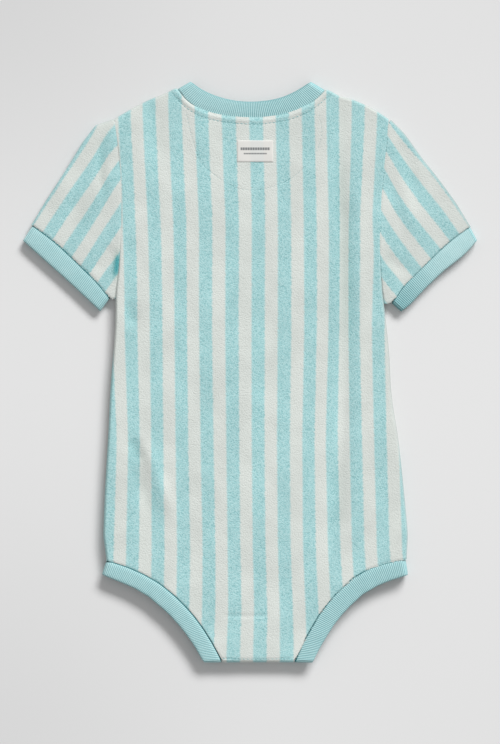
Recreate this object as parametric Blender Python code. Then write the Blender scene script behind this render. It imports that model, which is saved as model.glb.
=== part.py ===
"""Baby romper laid flat on its front: striped towelling with ribbed bands at the neck, arms and legs.

+X runs across the garment, +Y towards the neck and +Z up through the layers, and the back lies on top.
The origin is at the middle of the garment, on the surface it lies on. Every table is in millimetres.
Each piece is the outer face of the cloth, given its thickness inwards by a Solidify modifier.
"""

import math
from collections import namedtuple

import bmesh
import bpy
import numpy as np

MM = 0.001

TOWEL_WALL = 2.2        # thickness of the looped cloth
RIB_WALL = 1.8          # thickness of the rib, knitted double
LABEL_WALL = 0.6
SEAM_GAP = 0.3          # clearance between two pieces at a seam
CURVED_GAP = 0.45       # the same where a sleeve meets the body and its cuff along a curve

BODY_TOP = 7.2          # outer face of the back panel above the ground
SIDE_SEAM = 3.6         # level at which back and front meet round the sides and shoulders
ROLL = 4.2              # how far in from the edge the cloth starts to turn over
CHEST = 215.0           # nominal width, which sets the share of it that turns over
TUBE_ANGLES = (0, 45)                           # steps from a tube's fold up to its flat
TURN_ANGLES = (90, 60, 30, 0, -30, -60, -90)    # steps of a band or tab that turns right over

UNDERARM = 91.0         # Y of the lowest point of the armholes
UNDERARM_BLEND = 42.0   # length over which the flat armhole edge turns into the rolled side
NECK_BLEND = 18.0       # the same, from the shoulder into the neckline
FRONT_TURN = 1.5        # the front turns up later than the back turns down

CROTCH_FOLD = -223.7    # Y of the fold at the crotch
CROTCH_RISE = 0.6       # the layers stand a little higher there
CROTCH_RISE_LENGTH = 30.0
TAB_BASE = 2.5          # outer face of the back tab, folded beneath, above the front flap
TAB_END = -198.0        # Y of the tab's free end
FRONT_FLAP = -219.0     # Y of the front flap's lower edge

NECK_TOP, LEG_TOP = 7.0, 7.5
SLEEVE_TOP, SLEEVE_END_TOP, CUFF_TOP = 7.2, 5.6, 5.0
SLEEVE_CLEARANCE = 0.5  # between the sleeve's lower edge and the side of the body
FOLD_CLEARANCE = 0.7    # between a panel's corner and a band where the band turns over

LABEL_SIZE = (27.5, 17.0)
LABEL_CENTRE = (3.5, 170.5)
LABEL_CUTS = (7, 5)     # points across and down it

SNAP_SPACING = 17.0
SNAP_Y = -209.0
SNAP_CAP, SNAP_DISH, SNAP_STUD = 4.6, 2.2, 2.0      # radii
SNAP_SINK = 0.4         # depth of the dish in the middle of the ring
SNAP_BEVEL = 0.5
SNAP_SIDES = 16
CUT_MARGIN = 0.2        # how far a hole's cutter runs past the faces that it cuts

BODY_ROWS = 18
COLUMN_COUNTS = (4, 5, 5, 5, 4)    # between side, neck corner, crotch corner, and so on across
TUBE_ACROSS, SLEEVE_ALONG, CUFF_ALONG = 9, 7, 2
OUTWARD = {"left": -1, "right": 1}

Side = namedtuple("Side", "y left right")
Edge = namedtuple("Edge", "x y")
Cuff = namedtuple("Cuff", "seam_x seam_y edge_x edge_y")
Crease = namedtuple("Crease", "x0 y0 x1 y1 width rise")
Turn = namedtuple("Turn", "turned flat drop")

# Steps of a panel's edge, as shares of ROLL and of the height above the side seam: how far in each lies
# where the edge is turned and where it stays flat, and how far down the turned one is.
EDGE_TURNS = [Turn(0.0, 0.0, 1.0), Turn(0.0, 0.15, 0.75), Turn(0.29, 0.45, 0.22)]

# Edges of the body from the shoulder tips, down the armholes and sides, to the leg openings.
SIDES = [
    Side(195.0, -105.0, 106.3),
    Side(178.0, -102.5, 105.0),
    Side(161.0, -100.5, 103.0),
    Side(138.0, -99.3, 101.1),
    Side(115.5, -99.3, 99.8),
    Side(93.0, -100.1, 99.4),
    Side(71.0, -102.0, 100.9),
    Side(54.5, -103.4, 102.6),
    Side(32.5, -104.4, 105.1),
    Side(9.0, -105.9, 108.0),
    Side(-21.5, -107.5, 110.8),
    Side(-52.5, -109.8, 114.2),
    Side(-83.0, -111.8, 117.4),
    Side(-114.0, -113.1, 120.4),
    Side(-136.0, -113.6, 122.0),
    Side(-141.5, -112.9, 121.6),
    Side(-145.0, -111.0, 119.5),
]

SHOULDER_LEFT = [
    Edge(-105.0, 195.0),
    Edge(-95.0, 201.3),
    Edge(-85.0, 206.4),
    Edge(-76.5, 210.6),
    Edge(-69.5, 212.7),
    Edge(-62.0, 217.5),
    Edge(-55.8, 218.2),
]
SHOULDER_RIGHT = [
    Edge(57.4, 217.2),
    Edge(62.5, 217.2),
    Edge(69.0, 212.6),
    Edge(76.5, 210.8),
    Edge(86.0, 207.1),
    Edge(96.0, 202.0),
    Edge(106.3, 195.0),
]
NECK_BACK = [
    Edge(-55.8, 218.2),
    Edge(-50.4, 211.0),
    Edge(-41.2, 204.0),
    Edge(-27.3, 198.9),
    Edge(-12.0, 196.6),
    Edge(2.0, 195.9),
    Edge(14.5, 196.7),
    Edge(29.0, 199.5),
    Edge(41.2, 204.3),
    Edge(50.0, 210.2),
    Edge(57.4, 217.2),
]
NECK_BACK_RIM = [
    Edge(-46.2, 223.8),
    Edge(-39.0, 218.4),
    Edge(-31.2, 214.4),
    Edge(-22.5, 211.3),
    Edge(-12.0, 208.9),
    Edge(0.0, 208.1),
    Edge(11.5, 208.8),
    Edge(22.7, 211.1),
    Edge(32.0, 214.8),
    Edge(39.7, 219.1),
    Edge(46.4, 223.7),
]
NECK_FRONT = [
    Edge(-55.8, 218.2),
    Edge(-49.5, 202.0),
    Edge(-39.0, 184.5),
    Edge(-21.0, 171.5),
    Edge(1.0, 168.0),
    Edge(22.0, 171.5),
    Edge(40.5, 184.5),
    Edge(51.5, 202.0),
    Edge(57.4, 217.2),
]
NECK_FRONT_RIM = [
    Edge(-46.2, 223.8),
    Edge(-38.6, 206.5),
    Edge(-29.5, 192.0),
    Edge(-16.0, 182.8),
    Edge(1.0, 180.2),
    Edge(17.0, 182.8),
    Edge(30.5, 192.0),
    Edge(39.5, 206.5),
    Edge(46.4, 223.7),
]

# Leg openings, from the side to the crotch: the seam on each panel, then the band's free edge.
LEG_SEAMS = {
    "back_left": [
        Edge(-111.0, -145.0),
        Edge(-102.0, -147.3),
        Edge(-86.0, -153.5),
        Edge(-66.8, -164.6),
        Edge(-46.8, -183.6),
        Edge(-32.5, -203.0),
        Edge(-22.6, -221.0),
    ],
    "back_right": [
        Edge(119.5, -143.8),
        Edge(108.6, -145.7),
        Edge(89.0, -152.2),
        Edge(72.1, -163.9),
        Edge(54.4, -184.4),
        Edge(42.0, -205.6),
        Edge(33.3, -221.0),
    ],
    "front_left": [
        Edge(-111.0, -145.0),
        Edge(-100.0, -145.8),
        Edge(-82.0, -149.5),
        Edge(-63.0, -159.0),
        Edge(-44.0, -177.0),
        Edge(-31.5, -199.5),
        Edge(-22.6, FRONT_FLAP),
    ],
    "front_right": [
        Edge(119.5, -143.8),
        Edge(108.0, -144.8),
        Edge(90.0, -148.8),
        Edge(71.0, -159.0),
        Edge(53.0, -177.0),
        Edge(41.5, -199.5),
        Edge(33.3, FRONT_FLAP),
    ],
}
LEG_EDGES = {
    "back_left": [
        Edge(-114.3, -156.0),
        Edge(-102.8, -160.9),
        Edge(-90.2, -166.1),
        Edge(-79.3, -172.3),
        Edge(-60.1, -189.4),
        Edge(-46.4, -206.3),
        Edge(-36.0, CROTCH_FOLD),
    ],
    "back_right": [
        Edge(121.3, -156.3),
        Edge(108.6, -160.2),
        Edge(97.4, -164.8),
        Edge(85.2, -172.3),
        Edge(69.4, -187.9),
        Edge(56.8, -206.4),
        Edge(47.8, CROTCH_FOLD),
    ],
    "front_left": [
        Edge(-114.3, -156.0),
        Edge(-102.0, -158.8),
        Edge(-88.0, -161.6),
        Edge(-70.5, -170.0),
        Edge(-54.5, -185.5),
        Edge(-43.5, -205.0),
        Edge(-36.0, FRONT_FLAP),
    ],
    "front_right": [
        Edge(121.3, -156.3),
        Edge(109.5, -158.2),
        Edge(96.0, -161.2),
        Edge(79.0, -170.0),
        Edge(64.0, -185.5),
        Edge(53.5, -205.0),
        Edge(47.2, FRONT_FLAP),
    ],
}

# Sleeves: the fold along the top, from the shoulder to the cuff, and both edges of the cuff.
SLEEVE_FOLDS = {
    "left": [
        Edge(-105.4, 195.0),
        Edge(-112.5, 194.8),
        Edge(-118.5, 190.4),
        Edge(-126.7, 178.6),
        Edge(-145.9, 147.8),
        Edge(-168.0, 113.2),
    ],
    "right": [
        Edge(108.3, 194.2),
        Edge(112.0, 192.4),
        Edge(116.5, 187.2),
        Edge(122.8, 178.6),
        Edge(144.0, 150.5),
        Edge(169.1, 112.2),
    ],
}
CUFFS = {
    "left": [
        Cuff(-168.0, 113.2, -175.6, 101.3),
        Cuff(-155.6, 104.2, -167.0, 93.6),
        Cuff(-144.4, 94.7, -153.8, 81.7),
        Cuff(-129.7, 80.5, -138.7, 68.1),
        Cuff(-118.3, 69.3, -125.8, 56.2),
        Cuff(-108.2, 56.8, -115.8, 46.8),
    ],
    "right": [
        Cuff(169.1, 112.2, 174.9, 101.3),
        Cuff(153.6, 100.9, 163.8, 89.5),
        Cuff(139.0, 87.2, 148.0, 77.1),
        Cuff(125.4, 73.7, 133.2, 62.8),
        Cuff(117.4, 65.8, 123.8, 52.6),
        Cuff(108.9, 53.0, 116.2, 46.6),
    ],
}
SLEEVE_CORNER_Y = {"left": 56.8, "right": 53.0}     # where the sleeve's hem seam meets the side

# The largest creases of the back panel: where each starts and ends, its half width and its height.
CREASES = [
    Crease(71.0, 196.0, 72.0, 40.0, 7.5, -1.9),
    Crease(72.0, 40.0, 65.0, -110.0, 9.0, -1.1),
    Crease(-83.0, -50.0, -60.0, -112.0, 7.0, 0.9),
    Crease(103.0, -95.0, 72.0, -132.0, 8.0, 0.9),
]


def spline(rows, count):
    """Evenly spaced points on a smooth curve through the rows."""
    knots = np.array(rows, float)
    ends = np.vstack([2 * knots[0] - knots[1], knots, 2 * knots[-1] - knots[-2]])
    t = np.linspace(0, 1, 12, endpoint=False)[:, None]
    spans = [
        b + 0.5 * t * (c - a + t * (2 * a - 5 * b + 4 * c - d + t * (3 * (b - c) + d - a)))
        for a, b, c, d in zip(ends, ends[1:], ends[2:], ends[3:])
    ]
    fine = np.vstack(spans + [knots[-1:]])
    run = np.concatenate([[0], np.cumsum(np.linalg.norm(np.diff(fine, axis=0), axis=1))])
    stops = np.linspace(0, run[-1], count)
    return np.column_stack([np.interp(stops, run, column) for column in fine.T])


def at(line, share):
    """The point of an evenly spaced line that lies this share of the way along."""
    stops = np.linspace(0, 1, len(line))
    return np.array([np.interp(share, stops, column) for column in line.T])


def blend(value, start, end):
    """0 at start, 1 at end, with a soft ramp between."""
    share = min(max((value - start) / (end - start), 0.0), 1.0)
    return share * share * (3 - 2 * share)


def distance(point, line):
    """Distance in plan from a point to the nearest place on a line of points."""
    starts, runs = line[:-1], np.diff(line, axis=0)
    shares = np.clip(((point - starts) * runs).sum(1) / (runs * runs).sum(1), 0, 1)
    return np.linalg.norm(starts + shares[:, None] * runs - point, axis=1).min()


def moved_out(line, side, reach=SEAM_GAP):
    """A plan line moved sideways, to its left where side is 1 and to its right where it is -1."""
    heading = np.gradient(line, axis=0)
    heading /= np.linalg.norm(heading, axis=1)[:, None]
    return line + reach * side * np.column_stack([-heading[:, 1], heading[:, 0]])


SIDE_LINE = spline(SIDES, 160)[::-1]


def side_x(y, side):
    """X of the body's left or right edge at this height up the garment."""
    return float(np.interp(y, SIDE_LINE[:, 0], SIDE_LINE[:, 1 + (side == "right")]))


def share_across(x, row):
    return (x - row.left) / (row.right - row.left)


NECK_SHARES = [share_across(edge.x, SIDES[0]) for edge in (NECK_BACK[0], NECK_BACK[-1])]
CROTCH_SHARES = [
    share_across(LEG_SEAMS[name][-1].x, SIDES[-1]) for name in ("back_left", "back_right")
]


def column_shares():
    """Share across the panel of each column of points, turned and flat, and its drop where turned."""
    edge = ROLL / CHEST
    rolled = [Turn(edge * step.turned, edge * step.flat, step.drop) for step in EDGE_TURNS]
    stops = [edge, NECK_SHARES[0], CROTCH_SHARES[0], CROTCH_SHARES[1], NECK_SHARES[1], 1 - edge]
    middle = [edge]
    for start, end, count in zip(stops, stops[1:], COLUMN_COUNTS):
        middle.extend(np.linspace(start, end, count + 1)[1:])
    flat = [Turn(share, share, 0.0) for share in middle]
    return rolled + flat + [Turn(1 - step.turned, 1 - step.flat, step.drop) for step in reversed(rolled)]


COLUMNS = column_shares()


def columns_between(low, high):
    """Numbers of the columns from one share across to another, both included."""
    return [i for i, column in enumerate(COLUMNS) if low - 1e-6 <= column.flat <= high + 1e-6]


def panel_grid(neck, legs):
    """Columns of (x, y, turned) points, where turned is 0 on the flat and 1 at a rolled edge."""
    shoulders = [spline(rows, 60) for rows in (SHOULDER_LEFT, SHOULDER_RIGHT)]
    top_line = np.vstack([shoulders[0], spline(neck, 160)[1:-1], shoulders[1]])
    left_leg, right_leg = (spline(LEG_SEAMS[name], 120) for name in legs)
    bottom_line = np.vstack([left_leg, right_leg[::-1]])
    top_left, top_right = SIDES[0].left, SIDES[0].right
    low_left, low_right = SIDES[-1].left, SIDES[-1].right
    grid = []
    for across in COLUMNS:
        top_x = top_left + across.flat * (top_right - top_left)
        low_x = low_left + across.flat * (low_right - low_left)
        top = np.interp(top_x, top_line[:, 0], top_line[:, 1])
        low = np.interp(low_x, bottom_line[:, 0], bottom_line[:, 1])
        top_turns = 1 - blend(min(top_x - neck[0].x, neck[-1].x - top_x), 0, NECK_BLEND)
        stops = [(y, 0.0) for y in np.linspace(low, top - ROLL, BODY_ROWS + 1)]
        for step in reversed(EDGE_TURNS):
            inset = step.flat + top_turns * (step.turned - step.flat)
            stops.append((top - inset * ROLL, step.drop))
        column = []
        for y, top_drop in stops:
            left, right = side_x(y, "left"), side_x(y, "right")
            side_turns = 1 - blend(y, UNDERARM - UNDERARM_BLEND, UNDERARM)
            share = across.flat + side_turns * (across.turned - across.flat)
            level = (1 - side_turns * across.drop) * (1 - top_turns * top_drop)
            column.append((left + share * (right - left), y, 1 - level))
        grid.append(column)
    return grid


def creased(x, y):
    """Rise of the back panel at a point from the creases near it."""
    rise = 0.0
    for crease in CREASES:
        away = distance((x, y), np.array([(crease.x0, crease.y0), (crease.x1, crease.y1)]))
        rise += crease.rise * math.exp(-((away / crease.width) ** 2))
    return rise


def back_height(x, y, turned=0.0):
    """Outer face of the back panel above the ground."""
    crotch = CROTCH_RISE * (1 - blend(y, CROTCH_FOLD, CROTCH_FOLD + CROTCH_RISE_LENGTH))
    above_seam = BODY_TOP + crotch + creased(x, y) * (1 - turned) - SIDE_SEAM
    return SIDE_SEAM + above_seam * (1 - turned)


def quads(columns, rows, closed=False):
    """Faces between neighbouring points of a grid that is listed column by column."""
    last = columns if closed else columns - 1
    return [
        (i * rows + j, (i + 1) % columns * rows + j, (i + 1) % columns * rows + j + 1, i * rows + j + 1)
        for i in range(last)
        for j in range(rows - 1)
    ]


def material(name, colour, roughness, metallic=0.0):
    made = bpy.data.materials.new(name)
    made.use_nodes = True
    shader = made.node_tree.nodes["Principled BSDF"]
    shader.inputs["Base Color"].default_value = (*colour, 1.0)
    shader.inputs["Roughness"].default_value = roughness
    shader.inputs["Metallic"].default_value = metallic
    return made


def add_object(name, mesh, finish):
    piece = bpy.data.objects.new(name, mesh)
    piece.data.materials.append(finish)
    piece.parent = bpy.data.objects["romper"]
    bpy.context.scene.collection.objects.link(piece)
    return piece


def cloth(name, points, faces, wall, finish, faces_up=True):
    """A piece of cloth from the points of its outer face; the wall is added inwards."""
    mesh = bpy.data.meshes.new(name)
    mesh.from_pydata([tuple(MM * value for value in point) for point in points], [], faces)
    highest = max(mesh.polygons, key=lambda face: abs(face.normal.z) * (1 + face.center.z))
    if (highest.normal.z > 0) != faces_up:      # a flat face high up shows which way the mesh faces
        mesh.flip_normals()
    mesh.shade_smooth()
    piece = add_object(name, mesh, finish)
    solid = piece.modifiers.new("wall", "SOLIDIFY")
    solid.thickness = wall * MM
    solid.offset = -1.0
    solid.use_even_offset = True
    solid.use_quality_normals = True
    return piece


def joined(previous, start):
    """Faces from one row of points to the next row below it, whose numbers begin at start."""
    return [
        (start + k, start + k + 1, previous[k + 1], previous[k]) for k in range(len(previous) - 1)
    ]


def back_panel(grid, finish):
    """The back, with the tab at the crotch that folds beneath and carries half of each snap."""
    rows = len(grid[0])
    points = [(x, y, back_height(x, y, turned)) for column in grid for x, y, turned in column]
    faces = quads(len(grid), rows)
    crotch = columns_between(*CROTCH_SHARES)
    previous = [i * rows for i in crotch]
    for angle in TURN_ANGLES[1:]:
        turn = math.radians(angle)
        row = []
        for i in crotch:
            x, _, top = points[i * rows]
            radius = (top - TAB_BASE) / 2
            y = CROTCH_FOLD + radius * (1 - math.cos(turn))
            row.append((x, y, TAB_BASE + radius * (1 + math.sin(turn))))
        faces += joined(previous, len(points))
        previous = list(range(len(points), len(points) + len(row)))
        points += row
    fold_end = points[previous[0]][1]
    for y in np.linspace(fold_end, TAB_END, 3)[1:]:
        faces += joined(previous, len(points))
        start = len(points)
        points += [(points[i][0], y, TAB_BASE) for i in previous]
        previous = list(range(start, len(points)))
    return cloth("back_panel", points, faces, TOWEL_WALL, finish)


def front_panel(grid, finish):
    level = SIDE_SEAM - SEAM_GAP
    points = [(x, y, level * turned**FRONT_TURN) for column in grid for x, y, turned in column]
    faces = quads(len(grid), len(grid[0]))
    return cloth("front_panel", points, faces, TOWEL_WALL, finish, faces_up=False)


def share_off(line, edge, reach):
    """Share of the way along a line, which starts on an edge, at which it is this far from the edge."""
    return np.interp(reach, [distance(point, edge) for point in line], np.linspace(0, 1, len(line)))


def inset(edge, side, ends, reach):
    """A tube's fold line moved in by this reach, from one open end to the other."""
    moved = moved_out(edge, side, reach)
    for k, line in zip((0, -1), ends):
        moved[k] = at(line, share_off(line, edge, reach))
    return moved


def coons(first, last, ends, share, run):
    """A point of the smooth patch between four plan lines."""
    start, end = ends
    place = (1 - share) * at(first, run) + share * at(last, run)
    place += (1 - run) * at(start, share) + run * at(end, share)
    place -= (1 - run) * ((1 - share) * start[0] + share * start[-1])
    place -= run * ((1 - share) * end[0] + share * end[-1])
    return place


def flat_tube(name, folds, ends, side, tops, wall, along, finish):
    """A flattened tube between its two folds and its two open ends in plan, with the height at each end.

    Its layers meet at the folds, half way up. The side is 1 where the tube lies left of its first fold.
    """
    fold, lower = folds
    back = [line[::-1] for line in ends]
    radius = tops[-1] / 2
    turns = [math.radians(angle) for angle in TUBE_ANGLES]
    reaches = [radius * (1 - math.cos(turn)) for turn in turns]
    runs = np.linspace(0, 1, along + 1)
    trimmed = []
    for line in ends:
        span = share_off(line, fold, radius), 1 - share_off(line[::-1], lower, radius)
        trimmed.append(np.array([at(line, share) for share in np.linspace(*span, len(line))]))
    first = inset(fold, side, ends, radius)
    last = inset(lower, -side, back, radius)

    columns = []
    for turn, reach in zip(turns, reaches):
        line = inset(fold, side, ends, reach)
        columns.append(([at(line, run) for run in runs], math.sin(turn)))
    for share in np.linspace(0, 1, TUBE_ACROSS + 1):
        columns.append(([coons(first, last, trimmed, share, run) for run in runs], 1.0))
    for turn, reach in reversed(list(zip(turns, reaches))):
        line = inset(lower, -side, back, reach)
        columns.append(([at(line, run) for run in runs], math.sin(turn)))

    halves = (tops[0] + runs * (tops[1] - tops[0])) / 2
    upper = [(*place, half * (1 + lift)) for line, lift in columns for place, half in zip(line, halves)]
    beneath = [
        (*place, half * (1 - lift))
        for line, lift in columns[-2:0:-1]
        for place, half in zip(line, halves)
    ]
    faces = quads(2 * len(columns) - 2, along + 1, closed=True)
    return cloth(name, upper + beneath, faces, wall, finish)


def sleeve(side, finish):
    """A short sleeve: its lower edge lies close along the side of the body."""
    out = OUTWARD[side]
    fold = spline(SLEEVE_FOLDS[side], 60)
    down_armhole = np.linspace(fold[0][1], UNDERARM, 60)
    armhole = np.array([(side_x(y, side) + out * CURVED_GAP, y) for y in down_armhole])
    down_side = np.linspace(UNDERARM, SLEEVE_CORNER_Y[side], 20)
    lower = np.array([(side_x(y, side) + out * SLEEVE_CLEARANCE, y) for y in down_side])
    armhole[0] = fold[0]
    armhole[-1] = lower[0]
    seam = spline([(row.seam_x, row.seam_y) for row in CUFFS[side]] + [lower[-1]], 60)
    tops = (SLEEVE_TOP, SLEEVE_END_TOP)
    folds, ends = (fold, lower), (armhole, seam)
    return flat_tube(f"sleeve_{side}", folds, ends, -out, tops, TOWEL_WALL, SLEEVE_ALONG, finish)


def cuff(side, finish):
    """The ribbed band at the end of a sleeve."""
    rows = spline(CUFFS[side], 60)
    out = OUTWARD[side]
    seam = moved_out(rows[:, :2], out, CURVED_GAP)
    rim = rows[:, 2:]
    folds = [np.linspace(seam[k], rim[k], 2) for k in (0, -1)]
    tops = (CUFF_TOP, CUFF_TOP)
    return flat_tube(f"cuff_{side}", folds, (seam, rim), -out, tops, RIB_WALL, CUFF_ALONG, finish)


def turned_over(fold, above, below, top, base):
    """Sections of a band (seam x, seam y, edge x, edge y, height) as it turns down over a fold line."""
    radius = (top - base) / 2
    across = fold[2:] - fold[:2]
    fold = np.concatenate([fold[:2] + across * FOLD_CLEARANCE / np.linalg.norm(across), fold[2:]])
    sections = []
    for angle in TURN_ANGLES:
        turn = math.radians(angle)
        run = (above if angle >= 0 else below) - fold
        reach = np.linalg.norm(run[:2] + run[2:]) / 2
        plan = fold + run * radius * (1 - math.cos(turn)) / reach
        sections.append((*plan, base + radius * (1 + math.sin(turn))))
    return sections


def laid(rows, height):
    return [(*row, height) for row in rows]


def band(name, sections, closed, finish):
    """A ribbed band from its sections, each a line from the seam to the free edge."""
    points = [corner for a, b, c, d, z in sections for corner in ((a, b, z), (c, d, z))]
    faces = quads(len(sections), 2, closed)
    return cloth(name, points, faces, RIB_WALL, finish)


def band_rows(seam, rim_rows):
    """Sections in plan that start at each point of a seam line and end on the free edge."""
    run = np.concatenate([[0], np.cumsum(np.linalg.norm(np.diff(seam, axis=0), axis=1))])
    rim = spline(rim_rows, 120)
    shares = run / run[-1]
    return np.array([np.concatenate([point, at(rim, share)]) for point, share in zip(seam, shares)])


def neck_rib(back, front, finish):
    """The neckband, a ring: along the back neckline, over at each tip and round the front neckline."""
    columns = columns_between(*NECK_SHARES)
    lines = [np.array([grid[i][-1][:2] for i in columns]) for grid in (back, front)]
    upper, lower = (
        band_rows(moved_out(line, 1), rim)
        for line, rim in zip(lines, (NECK_BACK_RIM, NECK_FRONT_RIM))
    )
    left, right = (upper[k] * 0.5 + lower[k] * 0.5 for k in (0, -1))
    sections = laid(upper[1:-1], NECK_TOP)
    sections += turned_over(right, upper[-2], lower[-2], NECK_TOP, 0.0)
    sections += laid(lower[-2:0:-1], 0.0)
    sections += turned_over(left, upper[1], lower[1], NECK_TOP, 0.0)[::-1]
    return band("neck_rib", sections, True, finish)


def leg_rib(side, back, front, finish):
    """A leg band: from the back tab it turns over at the crotch, runs up the back, and down the front."""
    if side == "left":
        columns = columns_between(ROLL / CHEST, CROTCH_SHARES[0])
    else:
        columns = columns_between(CROTCH_SHARES[1], 1 - ROLL / CHEST)[::-1]
    layers = []
    for face, grid in (("back", back), ("front", front)):
        name = f"{face}_{side}"
        seam = np.array([LEG_SEAMS[name][0]] + [grid[i][0][:2] for i in columns])
        layers.append(band_rows(moved_out(seam, OUTWARD[side]), LEG_EDGES[name]))
    upper, lower = layers
    side_fold = upper[0]
    crotch_fold = upper[-1].copy()
    crotch_fold[1::2] = CROTCH_FOLD
    tab_end = crotch_fold.copy()
    tab_end[1::2] = TAB_END
    tab_middle = (crotch_fold + tab_end) / 2
    sections = laid([tab_end, tab_middle], TAB_BASE)
    sections += turned_over(crotch_fold, upper[-2], tab_middle, LEG_TOP, TAB_BASE)[::-1]
    sections += laid(upper[-2:0:-1], LEG_TOP)
    sections += turned_over(side_fold, upper[1], lower[1], LEG_TOP, 0.0)[1:-1]
    sections += laid(lower[1:], 0.0)
    return band(f"leg_rib_{side}", sections, False, finish)


def label(finish):
    """A woven label sewn at the back neck: the panel's own face, moved out."""
    across, down = (
        np.linspace(-size / 2, size / 2, count) for size, count in zip(LABEL_SIZE, LABEL_CUTS)
    )
    lift = SEAM_GAP + LABEL_WALL
    points = []
    for dx in across:
        for dy in down:
            x, y = LABEL_CENTRE[0] + dx, LABEL_CENTRE[1] + dy
            points.append((x, y, back_height(x, y) + lift))
    return cloth("label", points, quads(len(across), len(down)), LABEL_WALL, finish)


def snap_places():
    middle = (LEG_SEAMS["back_left"][-1].x + LEG_SEAMS["back_right"][-1].x) / 2
    return [(middle + step * SNAP_SPACING, SNAP_Y) for step in (-1, 0, 1)]


def turned_mesh(name, profile):
    """A round mesh from (radius, height) pairs, from the axis below to the axis above."""
    mesh = bmesh.new()
    low, high = (mesh.verts.new((0, 0, MM * profile[k][1])) for k in (0, -1))
    rings = []
    turns = [math.tau * k / SNAP_SIDES for k in range(SNAP_SIDES)]
    for radius, height in profile[1:-1]:
        places = [(radius * math.cos(turn), radius * math.sin(turn), height) for turn in turns]
        rings.append([mesh.verts.new([MM * value for value in place]) for place in places])
    for k in range(SNAP_SIDES):
        after = (k + 1) % SNAP_SIDES
        mesh.faces.new((low, rings[0][after], rings[0][k]))
        mesh.faces.new((high, rings[-1][k], rings[-1][after]))
        for below, above in zip(rings, rings[1:]):
            mesh.faces.new((below[k], below[after], above[after], above[k]))
    made = bpy.data.meshes.new(name)
    mesh.to_mesh(made)
    mesh.free()
    return made


def snaps(finish):
    """Ring snaps through the front flap, each with its stud in the back tab. They stay fastened."""
    stud_top = TAB_BASE + TOWEL_WALL - SEAM_GAP
    profile = [
        (0.0, SNAP_SINK),
        (SNAP_DISH, SNAP_SINK),
        (SNAP_DISH + SNAP_BEVEL, 0.0),
        (SNAP_CAP - SNAP_BEVEL, 0.0),
        (SNAP_CAP, SNAP_BEVEL),
        (SNAP_CAP, TOWEL_WALL),
        (SNAP_STUD, TOWEL_WALL),
        (SNAP_STUD, stud_top),
        (0.0, stud_top),
    ]
    for number, (x, y) in enumerate(snap_places(), 1):
        piece = add_object(f"snap_{number}", turned_mesh(f"snap_{number}", profile), finish)
        piece.location = (MM * x, MM * y, 0.0)
        piece.data.shade_smooth()
        piece.data.set_sharp_from_angle(angle=math.radians(35))


def pierce(panel, radius, layer_base):
    """Cuts the three snap holes through the layer of a panel whose lower face is at this height."""
    low = layer_base - CUT_MARGIN
    high = layer_base + TOWEL_WALL + CUT_MARGIN
    mesh = bmesh.new()
    for x, y in snap_places():
        made = bmesh.ops.create_cone(
            mesh,
            cap_ends=True,
            segments=SNAP_SIDES,
            radius1=MM * radius,
            radius2=MM * radius,
            depth=MM * (high - low),
        )
        bmesh.ops.translate(mesh, verts=made["verts"], vec=(MM * x, MM * y, MM * (low + high) / 2))
    name = f"{panel.name}_hole_cutter"
    data = bpy.data.meshes.new(name)
    mesh.to_mesh(data)
    mesh.free()
    cutter = bpy.data.objects.new(name, data)
    bpy.context.scene.collection.objects.link(cutter)
    cutter.hide_render = True
    cutter.display_type = "WIRE"
    holes = panel.modifiers.new("snap holes", "BOOLEAN")
    holes.operation = "DIFFERENCE"
    holes.object = cutter


def build():
    for item in list(bpy.data.objects):
        bpy.data.objects.remove(item, do_unlink=True)
    bpy.context.scene.collection.objects.link(bpy.data.objects.new("romper", None))

    towelling = material("towelling", (0.51, 0.66, 0.65), 0.95)
    rib = material("rib", (0.40, 0.62, 0.63), 0.9)
    back_grid = panel_grid(NECK_BACK, ("back_left", "back_right"))
    front_grid = panel_grid(NECK_FRONT, ("front_left", "front_right"))
    back = back_panel(back_grid, towelling)
    front = front_panel(front_grid, towelling)
    neck_rib(back_grid, front_grid, rib)
    for side in ("left", "right"):
        sleeve(side, towelling)
        cuff(side, rib)
        leg_rib(side, back_grid, front_grid, rib)
    label(material("label", (0.78, 0.77, 0.74), 0.8))
    snaps(material("snap", (0.72, 0.78, 0.78), 0.35, 0.9))
    pierce(front, SNAP_CAP + SEAM_GAP, 0.0)
    pierce(back, SNAP_STUD + SEAM_GAP, TAB_BASE)


build()
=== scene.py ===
import math

import bmesh
import bpy
import numpy as np
from mathutils import Matrix, Vector


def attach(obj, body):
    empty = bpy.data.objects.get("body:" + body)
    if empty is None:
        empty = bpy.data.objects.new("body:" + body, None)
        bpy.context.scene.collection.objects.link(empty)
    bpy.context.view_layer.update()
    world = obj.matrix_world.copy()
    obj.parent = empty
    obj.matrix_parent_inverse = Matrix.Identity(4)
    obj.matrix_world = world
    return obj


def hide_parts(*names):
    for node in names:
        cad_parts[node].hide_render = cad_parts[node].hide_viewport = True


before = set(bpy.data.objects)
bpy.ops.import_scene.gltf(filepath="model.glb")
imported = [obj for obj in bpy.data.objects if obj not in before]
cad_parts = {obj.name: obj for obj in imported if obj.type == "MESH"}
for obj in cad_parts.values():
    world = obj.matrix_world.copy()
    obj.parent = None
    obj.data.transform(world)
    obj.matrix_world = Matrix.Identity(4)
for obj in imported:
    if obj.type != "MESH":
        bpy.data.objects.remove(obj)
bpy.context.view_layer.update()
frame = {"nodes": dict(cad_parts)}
bpy.ops.object.select_all(action="DESELECT")

mm = 0.001
print("frame loaded,", len(frame["nodes"]), "pieces")


def smooth(value, low, high):
    # 0 at low, 1 at high, with a soft ramp between
    share = np.clip((np.asarray(value, float) - low) / (high - low), 0.0, 1.0)
    return share * share * (3 - 2 * share)


def runOf(line):
    # length passed at each point of a line
    return np.concatenate([[0.0], np.cumsum(np.linalg.norm(np.diff(line, axis=0), axis=1))])


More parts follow.
